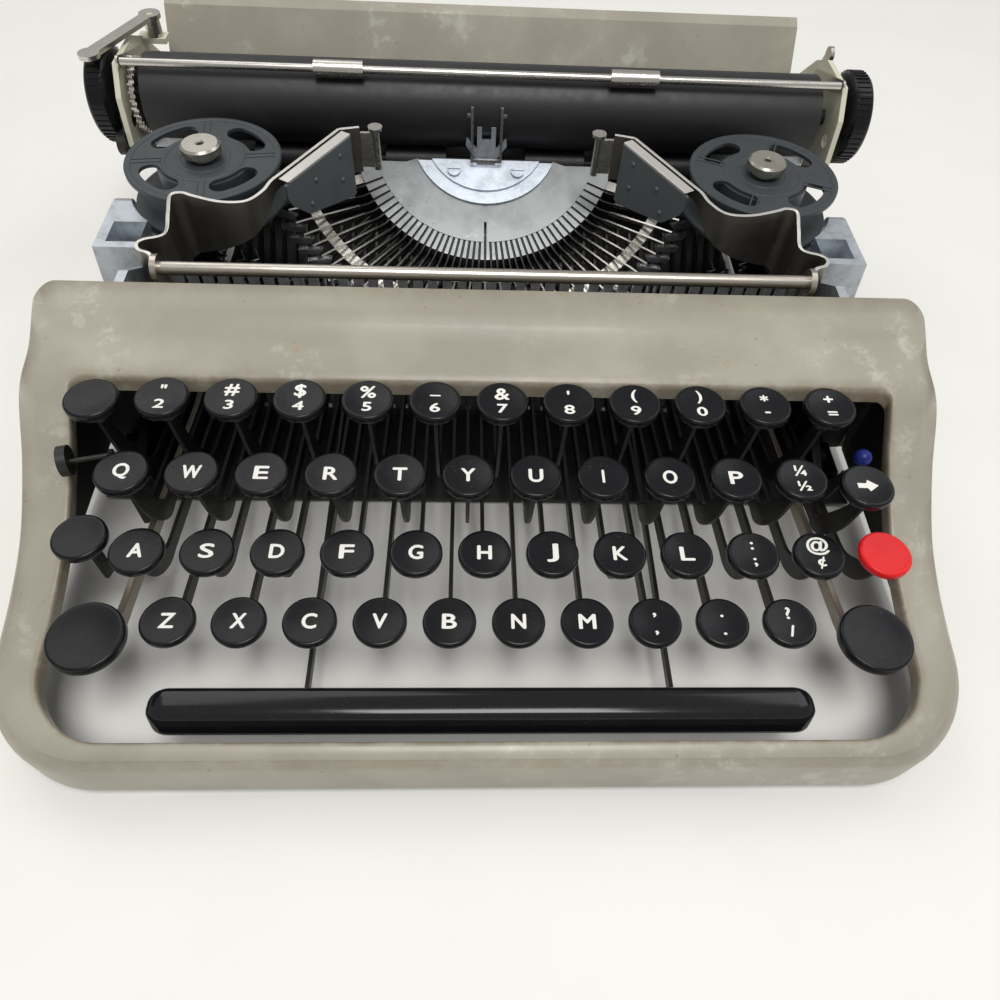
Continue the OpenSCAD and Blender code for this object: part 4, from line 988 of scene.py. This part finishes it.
SEGMENT_TILT = 27.0
SEGMENT_C = Vector((0, 79, 55))
SEGMENT_R = 52.0
PIVOT_R, PIVOT_N, STRIKE_H = 41.0, 0.4, 22.0
BARS, FAN_A, FAN_HALF = 43, 2.6, 66.0
LAST_BAR = BARS // 2  # bars are numbered from -LAST_BAR to LAST_BAR; 0 is H
SWING = joint("typebar_h_strike")["range_deg"][1]
SLUG_LEN, SLUG_T, SLUG_W = 9.0, 2.0, 2.4
TYPE_RISE = 2.3  # of the two letters of a slug from its middle
FACE_IN, FACE_OUT, FACE_LOW, FACE_TOP = 28.6, SEGMENT_R - 7.4, 1.9, 2.3
FACE_FROM, FACE_TO = 1.1, 70.5  # in degrees from the slot of H
# black_steel, the third finish, is also painted shade on the root of each bar, where the segment's rim shades
# it
BAR_FINISHES = ("bright_steel", "slug_steel", "black_steel")


def segment_frame():
    """The segment's own frame, with its origin on the axis of the fan."""
    return at(SEGMENT_C) @ spin(SEGMENT_TILT, "X")


def fan(i):
    """Angle of a type bar; the outer ones stand further apart."""
    return FAN_A * i + (FAN_HALF - FAN_A * LAST_BAR) / LAST_BAR**3 * i**3


def type_bar_parts(i):
    """Blade and slug of one resting type bar, with the matrices that lay it back on the rest."""
    length = math.hypot(PIVOT_R, STRIKE_H)
    rise = math.atan((STRIKE_H - PIVOT_N) / PIVOT_R)
    root = spin(fan(i), "Z") @ at(0, -PIVOT_R, PIVOT_N)
    base = segment_frame() @ root @ spin(SWING, "X") @ root.inverted()
    neck, half = SEGMENT_R - PIVOT_R + 1.3, SLUG_LEN / 2
    # painted shade: the root of the bar, next to the segment's rim, takes the black finish (number 2) instead
    # of the bright steel of its blade
    shaded_bar_root = plate("root", [
        (-3.3, 0.3), (-2.4, -2.1), (0.5, -1.4), (neck - 1, 2.6), (neck + 1, 3.1), (neck + 4.6, 2.9),
        (neck + 4.6, 4.9), (neck + 1, 5.5), (neck - 1.2, 5.4), (-0.6, 1.65),
    ], 0.36)
    blade = plate("blade", [
        (neck + 4.4, 2.75), (neck + 5.4, 2.3), (length - 9, 0.45), (length - 5, 0.1), (length - 1.2, -0.08),
        (length - 1.2, 1.35), (length - 4, 1.6), (length - 7, 2.3), (neck + 6, 4.6), (neck + 4.4, 4.2),
    ], 0.4)
    slug = plate("slug", [
        (-SLUG_T - 0.6, -half + 1.1), (-0.9, -half), (-0.3, -half + 0.1), (-0.3, -0.25), (-0.7, 0),
        (-0.3, 0.25), (-0.3, half - 0.1), (-0.9, half), (-SLUG_T - 0.6, half - 1.1),
    ], SLUG_W / 2)
    bevel = plate("bevel", [
        (-1.5, half - 0.55), (-0.85, half + 0.02), (-0.25, half - 0.06), (-0.3, half - 0.5),
    ], SLUG_W / 2 + 0.02)
    letter = block("letter", (-0.35, -1.25, -0.75), (0, 1.25, 0.75))
    letter.transform(side_on())
    lean = base @ root @ Matrix.Rotation(rise, 4, "X")
    stand = base @ at(0, 0, STRIKE_H) @ spin(-2 * SEGMENT_TILT, "X")
    letters = [(letter, stand @ at(0, 0, z)) for z in (-TYPE_RISE, TYPE_RISE)]
    return [(shaded_bar_root, lean, 2), (blade, lean), (slug, stand, 1), *letters, (bevel, stand)]


class TYPEWRITER_OT_type_bars(bpy.types.Operator):
    """Fan of type bars on their rest, each blade with its type slug"""

    bl_idname = "typewriter.type_bars"
    bl_label = "Type Bars"

    def execute(self, context):
        parts = [p for i in range(-LAST_BAR, LAST_BAR + 1) if i for p in type_bar_parts(i)]
        for name, set_of_parts, body, node in (
            ("type_bar_fan", parts, "type_basket", "typebars"),
            ("type_bar_h", type_bar_parts(0), "typebar_h", "typebar_h"),
        ):
            made = put(name, set_of_parts, body, *BAR_FINISHES, slot="bright_steel", bevel=0.12)
            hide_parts(node)
        return {"FINISHED"}


class TYPEWRITER_OT_segment(bpy.types.Operator):
    """Ground face of the segment, which leaves the slots open at the rim and at the middle"""

    bl_idname = "typewriter.segment"
    bl_label = "Segment Face"

    def execute(self, context):
        arc = lambda r, run: [(r * cos(a), r * sin(a)) for a in run]
        parts = []
        for side in (-1, 1):
            angles = [side * (FACE_FROM + (FACE_TO - FACE_FROM) * k / 48) - 90 for k in range(49)]
            outline = arc(FACE_OUT, angles) + arc(FACE_IN, angles[::-1])
            parts.append((prism("face", outline, FACE_LOW, FACE_TOP), segment_frame()))
        put("segment_face", parts, "type_basket", "ground_segment_steel", slot="segment_steel", sharp=30)
        return {"FINISHED"}


# Sheet guards

GUARD_T = 1.2
GUARD_CURVE = [  # x, y, bottom, top
    (-105.5, -19.5, 52, 66), (-107, -15.5, 52, 68), (-111, -13.3, 52, 68), (-112.4, -10.5, 52, 68),
    (-111, -8, 52, 68), (-104.3, -6, 52, 69), (-103.2, -1, 52, 73), (-102.4, 3.2, 52, 76.6),
    (-99, 4.4, 54, 77), (-95, 2.8, 56, 77), (-86, 0, 60, 77), (-78, 0.8, 64, 77), (-73.6, 6.5, 68, 77),
    (-71.7, 12.5, 72, 77), (-68.9, 17.4, 73, 77), (-62, 29.6, 73, 77), (-53, 45.5, 73, 77),
]
GUARD_END = [(-53, 45.5, 60, 77), (-46, 47.3, 60, 77)]
WALL_LINE = (Vector((-71.7, 12.5)), Vector((-53, 45.5)))


def sheet_mesh(curve, side, steps=6, thick=GUARD_T):
    """A bent sheet that stands along a curve of (x, y, bottom, top); its top edge has its own finish."""
    path = spline(curve, steps) if steps > 1 else [Vector(p) for p in curve]
    points = []
    for i, p in enumerate(path):
        a, b = path[max(i - 1, 0)], path[min(i + 1, len(path) - 1)]
        run = Vector((b[0] - a[0], b[1] - a[1])).normalized()
        out = Vector((-run.y, run.x)) * thick / 2
        for sx, z in ((1, p[2]), (1, p[3]), (-1, p[3]), (-1, p[2])):
            points.append((-side * (p[0] + sx * out.x), p[1] + sx * out.y, z))
    faces = ring_faces(len(path), 4) + [[3, 2, 1, 0], [len(points) - 4 + k for k in range(4)]]
    return mesh_of("guard", points, faces, [0, 1, 0, 0] * (len(path) - 1) + [1, 1])


class TYPEWRITER_OT_guards(bpy.types.Operator):
    """Bent sheet guards with bright cut edges, a riveted wall and a folded flange on each side"""

    bl_idname = "typewriter.guards"
    bl_label = "Basket Guards"

    def execute(self, context):
        for side, name in SIDES:
            sheet = put("guard_sheet_" + name, sheet_mesh(GUARD_CURVE, side), "machine", "dark_plate",
                        "cut_edge", slot="guard_steel", bevel=0.1)
            put("guard_end_" + name, sheet_mesh(GUARD_END, side, 1), "machine", "dark_plate", "cut_edge",
                slot="guard_steel", bevel=0.12)
            a, b = WALL_LINE
            run, length = (b - a).normalized(), (b - a).length
            inward = Vector((run.y, -run.x))
            lay = Matrix(((-side * run.x, 0, -side * inward.x, -side * a.x), (run.y, 0, inward.y, a.y),
                          (0, 1, 0, 0), (0, 0, 0, 1)))
            wall = prism("wall", [(1, 75.9), (1, 71), (2.5, 68), (length * 0.27, 60.4), (length - 2, 53.3),
                                  (length - 0.4, 54), (length - 0.4, 75.9)], 4.2, 5.2)
            flange = prism("flange", [(3, 75.9), (length - 0.4, 75.9), (length - 0.4, 76.9), (2, 76.9)],
                           1.4, 5.2)
            rivet = turned("rivet", [(0, 0), (0.95, 0), (0.9, 0.28), (0.55, 0.55), (0, 0.65)], 16)
            rivets = [(rivet, lay @ at(share * length, z, 5.15))
                      for share, z in ((0.8, 72.2), (0.8, 63), (0.42, 70.5), (0.32, 63.5))]
            put("guard_wall_" + name, [(wall, lay)] + rivets, "machine", "grey_lacquer", slot="guard_steel",
                bevel=0.15)
            put("guard_flange_" + name, [(flange, lay)], "machine", "cut_edge", slot="guard_steel", bevel=0.2)
            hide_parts("basket_guard_" + name)
        return {"FINISHED"}


# Ribbon spools


class TYPEWRITER_OT_spools(bpy.types.Operator):
    """Raised rims and ribs of the spools, and their knurled nuts"""

    bl_idname = "typewriter.spools"
    bl_label = "Ribbon Spools"

    def execute(self, context):
        for name in ("left", "right"):
            body = "ribbon_spool_" + name
            low, high = cad_box(body)
            centre = Vector(((low.x + high.x) / 2, (low.y + high.y) / 2, high.z))
            radius = (high.x - low.x) / 2
            outer = turned("bead", steps_from(radius, 0, (
                (-2.4, -0.3), (-2.2, 0.15), (-1.2, 0.32), (-0.3, 0.2), (0, -0.35), (-0.2, -0.7))), 96)
            inner = turned("bead", [(12.6, -0.3), (12.8, 0.12), (13.5, 0.3), (14.2, 0.12), (14.4, -0.3)], 72)
            boss = turned("boss", [(7.4, -0.3), (7.6, 0.1), (8.3, 0.25), (9.2, 0.1), (9.5, -0.3)], 60)
            parts = [(ring, at(centre)) for ring in (outer, inner, boss)]
            rib = block("rib", (14.2, -0.28, -0.2), (radius - 2.2, 0.28, 0.24))
            start = 8 if name == "left" else -22
            for k in range(4):
                turn = at(centre) @ spin(start + 90 * k, "Z")
                parts += [(rib, turn @ at(0, d)) for d in (-1.1, 1.1)]
            put("spool_relief_" + name, parts, body, "spool_lacquer", slot="spool_grey", bevel=0.1)
        low, high = cad_box("spool_nuts")
        radius, z, teeth = 6.6, high.z, 60
        profile = [(2.5, -5), (4.5, -5), (4.5, -3.5), (radius - 0.5, -3.4), (radius, -3.0), (radius, -0.7),
                   (radius - 0.6, 0), (1.6, 0), (1.25, -0.5), (1.25, -2.5), (2.5, -2.6)]
        knurl = block("knurl", (radius - 0.15, -0.17, -3.0), (radius + 0.16, 0.17, -0.7))
        for name, x in (("left", low.x + radius), ("right", high.x - radius)):
            y = (low.y + high.y) / 2
            nut = turned("nut_" + name, profile, 72)
            grip = all_round("grip", knurl, teeth, "nickel")
            parts = [(nut, at(x, y, z)), (grip, at(x, y, z))]
            made = put("spool_nut_" + name, parts, "machine", "nickel", slot="nickel", sharp=30)
            if name == "left":
                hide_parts("spool_nuts")
        return {"FINISHED"}


# Platen knobs


class TYPEWRITER_OT_knobs(bpy.types.Operator):
    """Moulded platen knobs with fine ribs round them"""

    bl_idname = "typewriter.knobs"
    bl_label = "Platen Knobs"

    def execute(self, context):
        ribs = context.scene.typewriter_sizes.ribs
        for side, name in SIDES:
            node = "platen_knob_" + name
            low, high = cad_box(node)
            radius = (high.z - low.z) / 2
            y, z = (low.y + high.y) / 2, (low.z + high.z) / 2
            rim = steps_from(radius, 0, ((-4, 0), (-2.2, 0.15), (-1.0, 0.8), (-0.35, 2.0), (-0.35, 7),
                                         (-1.2, 8), (-2.6, 8.5)))
            profile = [(3, 0.2)] + rim + [(8.2, 8.8), (7, 9.2), (7, 10.6), (3, 10.6)]
            rib = block("rib", (radius - 0.7, -0.42, 1.9), (radius - 0.02, 0.42, 7.1))
            grip = all_round("ribs", rib, ribs, "key_black")
            turn = at(low.x if side < 0 else high.x, y, z) @ spin(-90 * side, "Y")
            parts = [(turned("knob", profile, 96), turn), (grip, turn)]
            made = put("knob_" + name, parts, "platen", "key_black", slot="key_black", sharp=35, bevel=0.12)
            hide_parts(node)
        return {"FINISHED"}


# Small works under the type basket

SPRING_PLACES = ((-92, 6), (-86, 4), (-99, 10))
LINK_CURVES = (
    [(-66, -14, 33), (-71, -8, 36), (-79, -3, 40), (-86, 2, 43), (-89, 4.5, 43), (-88, 6, 42)],
    [(-100, -16, 38), (-98, -8, 40), (-96, 0, 40), (-97, 6, 38)],
)
CRANK_CURVE = (
    (24, 7.5), (32, 8), (44, 14), (55, 24), (58.5, 30), (56.5, 31), (51, 27), (42, 20), (30, 15), (24, 14),
    (24, 7.5),
)
# right half of the black sheet under the basket, and side view of those beside it; these black sheets are
# painted shade, standing in for the shade there
SHADE_SHEET_HALF = [(131, -63), (131, -38), (112, -34), (112, 138)]
SHADE_END_OUTLINE = ((113, 3.4), (133.8, 4.5), (133.8, 59), (128, 66), (113, 67))


class TYPEWRITER_OT_small_works(bpy.types.Operator):
    """Springs, links and cranks under the type bars, and black sheets below and beside them that are painted
    shade
    """

    bl_idname = "typewriter.small_works"
    bl_label = "Small Works"

    def execute(self, context):
        parts = []
        for side in (-1, 1):
            for k, (x, y) in enumerate(SPRING_PLACES):
                path = coil((side * -x, y, 24 + k), (side * -x * 0.98, y + 14, 44 + 2 * k), 1.5, 9)
                parts.append((wire("spring", path, 0.32, 6), HERE))
            for link in LINK_CURVES:
                path = spline([(side * -x, y, z) for x, y, z in link], 6)
                parts.append((wire("link", path, 0.8, 8), HERE))
        put("basket_springs", parts, "machine", "type_steel", slot="bright_steel")
        places, step = row_places("top_row")
        pitch, first = step / 4, places[0][0]
        crank = plate("crank", spline(CRANK_CURVE, 4)[:-1], 0.5)
        cranks = repeated("cranks", crank, BARS, (first, 0, 0), (pitch, 0, 0), "black_steel")
        put("link_cranks", cranks, "machine", "black_steel", slot="lever_steel")
        links = []
        for i in range(-LAST_BAR, LAST_BAR + 1):
            x = first + pitch * (i + LAST_BAR)
            end = segment_frame() @ Vector((45 * sin(fan(i)), -45 * cos(fan(i)), -2.5))
            path = spline([(x, -2, 14), (x * 0.9, 8, 22), end - Vector((0, 3, 7)), end], 5)
            links.append((wire("bar_link", path, 0.55, 6), HERE))
        put("bar_links", links, "type_basket", "black_steel", slot="lever_steel")
        # painted shade: black sheets beside the basket, standing in for the shade there
        ends = [(prism("end", [(side * x, z) for x, z in SHADE_END_OUTLINE], 36.6, 37.6), spin(90, "X"))
                for side in (-1, 1)]
        put("end_sheets", ends, "machine", "inner_black", slot="lever_steel")
        # painted shade: a black sheet under the basket, standing in for the shade behind the comb
        ground = prism("ground", SHADE_SHEET_HALF + [(-x, y) for x, y in SHADE_SHEET_HALF[::-1]], 2.6, 3.4)
        put("ground_sheet", ground, "machine", "inner_black", slot="lever_steel", bevel=0.3)
        return {"FINISHED"}


# Finishes of the CAD nodes that stay

NODE_FINISH = {
    "worn_enamel": ("rear_housing", "paper_table"),
    "foot_rubber": ("rubber_feet",),
    "platen_rubber": ("platen", "front_feed_rollers", "rear_feed_rollers"),
    "cast_alloy": ("key_guide_comb", "carriage_frame", "mainspring_drum"),
    "frame_alloy": ("side_frame_left", "side_frame_right"),
    "hub_alloy": ("segment_ring", "type_guide"),
    "black_steel": ("rear_cross_rail", "line_space_lever", "tab_set_lever"),
    "bright_steel": (
        "key_fulcrum_shaft", "ribbon_guides", "carriage_rail", "bell", "margin_rack", "margin_stop_left",
        "margin_stop_right", "platen_ratchet", "paper_bail", "return_lever", "paper_release_lever",
        "typebar_rest", "ribbon_vibrator",
    ),
    "rod_steel": ("cover_rod",),
    "nickel": ("fasteners",),
    "spool_lacquer": ("spool_cup_left", "spool_cup_right", "ribbon_spool_left", "ribbon_spool_right"),
    "brass": ("escapement_wheel",),
    "cream_enamel": ("carriage_end_left", "carriage_end_right"),
    "ground_segment_steel": ("segment",),
}


class TYPEWRITER_OT_node_finishes(bpy.types.Operator):
    """Finishes of the CAD pieces that show as they are"""

    bl_idname = "typewriter.node_finishes"
    bl_label = "CAD Finishes"

    def execute(self, context):
        known = finishes()
        for finish, nodes in NODE_FINISH.items():
            for node in nodes:
                mesh = frame["nodes"][node].data
                if not mesh.materials:
                    mesh.materials.append(known[finish])
                for k in range(len(mesh.materials)):
                    mesh.materials[k] = known[finish]
        return {"FINISHED"}


# Stage; the camera was solved from the keys in the photograph

CAMERA_PLACE = Vector((-7.0, -223.3, 225.1))
CAMERA_RIGHT = Vector((0.9989, -0.0187, 0.0421))
CAMERA_DOWN = Vector((0.0095, -0.8108, -0.5852))
FOCAL, SENSOR = 27.92, 36.0
FLOOR_HALF = 6.0  # metres


class TYPEWRITER_OT_stage(bpy.types.Operator):
    """Pale floor, soft lamps and the camera at the photograph's angle"""

    bl_idname = "typewriter.stage"
    bl_label = "Stage"

    def execute(self, context):
        scene = context.scene
        scene.view_settings.view_transform = "Standard"
        self.floor(scene)
        self.lamps(scene)
        self.camera(scene)
        return {"FINISHED"}

    def floor(self, scene):
        colour = tuple(scene.typewriter_colours.floor)
        s = Shader("pale_floor", colour, 0.7, specular=0.25)
        s.patches((60, 4), 0.4, 0.7, [c * 0.97 for c in colour], 0.6)
        s.bump(s.noise(2.5, 4), 0.06, 0.1)
        corners = [(x * FLOOR_HALF, y * FLOOR_HALF, 0) for x, y in ((-1, -1), (1, -1), (1, 1), (-1, 1))]
        mesh = mesh_of("floor", corners, [[0, 1, 2, 3]])
        mesh.materials.append(s.material)
        floor = bpy.data.objects.new("floor", mesh)
        scene.collection.objects.link(floor)
        scene.world = bpy.data.worlds.new("pale_room")
        scene.world.use_nodes = True
        back = scene.world.node_tree.nodes["Background"]
        back.inputs["Color"].default_value = (1.0, 0.99, 0.97, 1)
        back.inputs["Strength"].default_value = 0.4

    def lamps(self, scene):
        for name, place, aim, size, power, tint in (  # in metres and watts
            ("window", (-0.55, 0.75, 1.15), (0, 0, 0.03), 0.9, 3.6, (1.0, 0.99, 0.97)),
            ("window_side", (0.85, 0.35, 1.0), (0, 0, 0.03), 0.7, 2.2, (0.97, 0.99, 1.0)),
            ("ceiling", (0.05, -0.45, 1.35), (0, -0.07, 0), 0.6, 12.0, (1.0, 0.99, 0.97)),
        ):
            lamp = bpy.data.lights.new(name, "AREA")
            lamp.shape, lamp.size, lamp.energy, lamp.color = "SQUARE", size, power, tint
            made = bpy.data.objects.new(name, lamp)
            made.location = place
            made.rotation_euler = (Vector(aim) - Vector(place)).to_track_quat("-Z", "Y").to_euler()
            scene.collection.objects.link(made)

    def camera(self, scene):
        view = bpy.data.cameras.new("photo_view")
        view.sensor_width, view.lens = SENSOR, FOCAL
        view.clip_start = 0.01
        made = bpy.data.objects.new("photo_view", view)
        right = CAMERA_RIGHT.normalized()
        up = -(CAMERA_DOWN - right * CAMERA_DOWN.dot(right)).normalized()
        back = right.cross(up)
        turn = Matrix((right, up, back)).transposed().to_4x4()
        made.matrix_world = at(CAMERA_PLACE * MM) @ turn
        scene.collection.objects.link(made)
        scene.camera = made


OPERATORS = (
    TYPEWRITER_OT_stage, TYPEWRITER_OT_node_finishes, TYPEWRITER_OT_case, TYPEWRITER_OT_keys,
    TYPEWRITER_OT_side_keys, TYPEWRITER_OT_selector, TYPEWRITER_OT_legends, TYPEWRITER_OT_space_bar,
    TYPEWRITER_OT_type_bars, TYPEWRITER_OT_segment, TYPEWRITER_OT_guards, TYPEWRITER_OT_spools,
    TYPEWRITER_OT_knobs, TYPEWRITER_OT_small_works,
)


class TYPEWRITER_PT_panel(bpy.types.Panel):
    """Lists the pieces of the typewriter and their settings"""

    bl_label = "Typewriter"
    bl_idname = "TYPEWRITER_PT_panel"
    bl_space_type = "VIEW_3D"
    bl_region_type = "UI"
    bl_category = "Typewriter"

    def draw(self, context):
        for group in (context.scene.typewriter_sizes, context.scene.typewriter_colours):
            for name in group.__annotations__:
                self.layout.prop(group, name)
        for operator in OPERATORS:
            self.layout.operator(operator.bl_idname)


CLASSES = (TypewriterSizes, TypewriterColours, *OPERATORS, TYPEWRITER_PT_panel)


def register():
    for cls in CLASSES:
        bpy.utils.register_class(cls)
    bpy.types.Scene.typewriter_sizes = PointerProperty(type=TypewriterSizes)
    bpy.types.Scene.typewriter_colours = PointerProperty(type=TypewriterColours)


def unregister():
    del bpy.types.Scene.typewriter_colours
    del bpy.types.Scene.typewriter_sizes
    for cls in reversed(CLASSES):
        bpy.utils.unregister_class(cls)


def main():
    register()
    for operator in OPERATORS:
        group, name = operator.bl_idname.split(".")
        getattr(getattr(bpy.ops, group), name)()


if __name__ == "__main__":
    main()
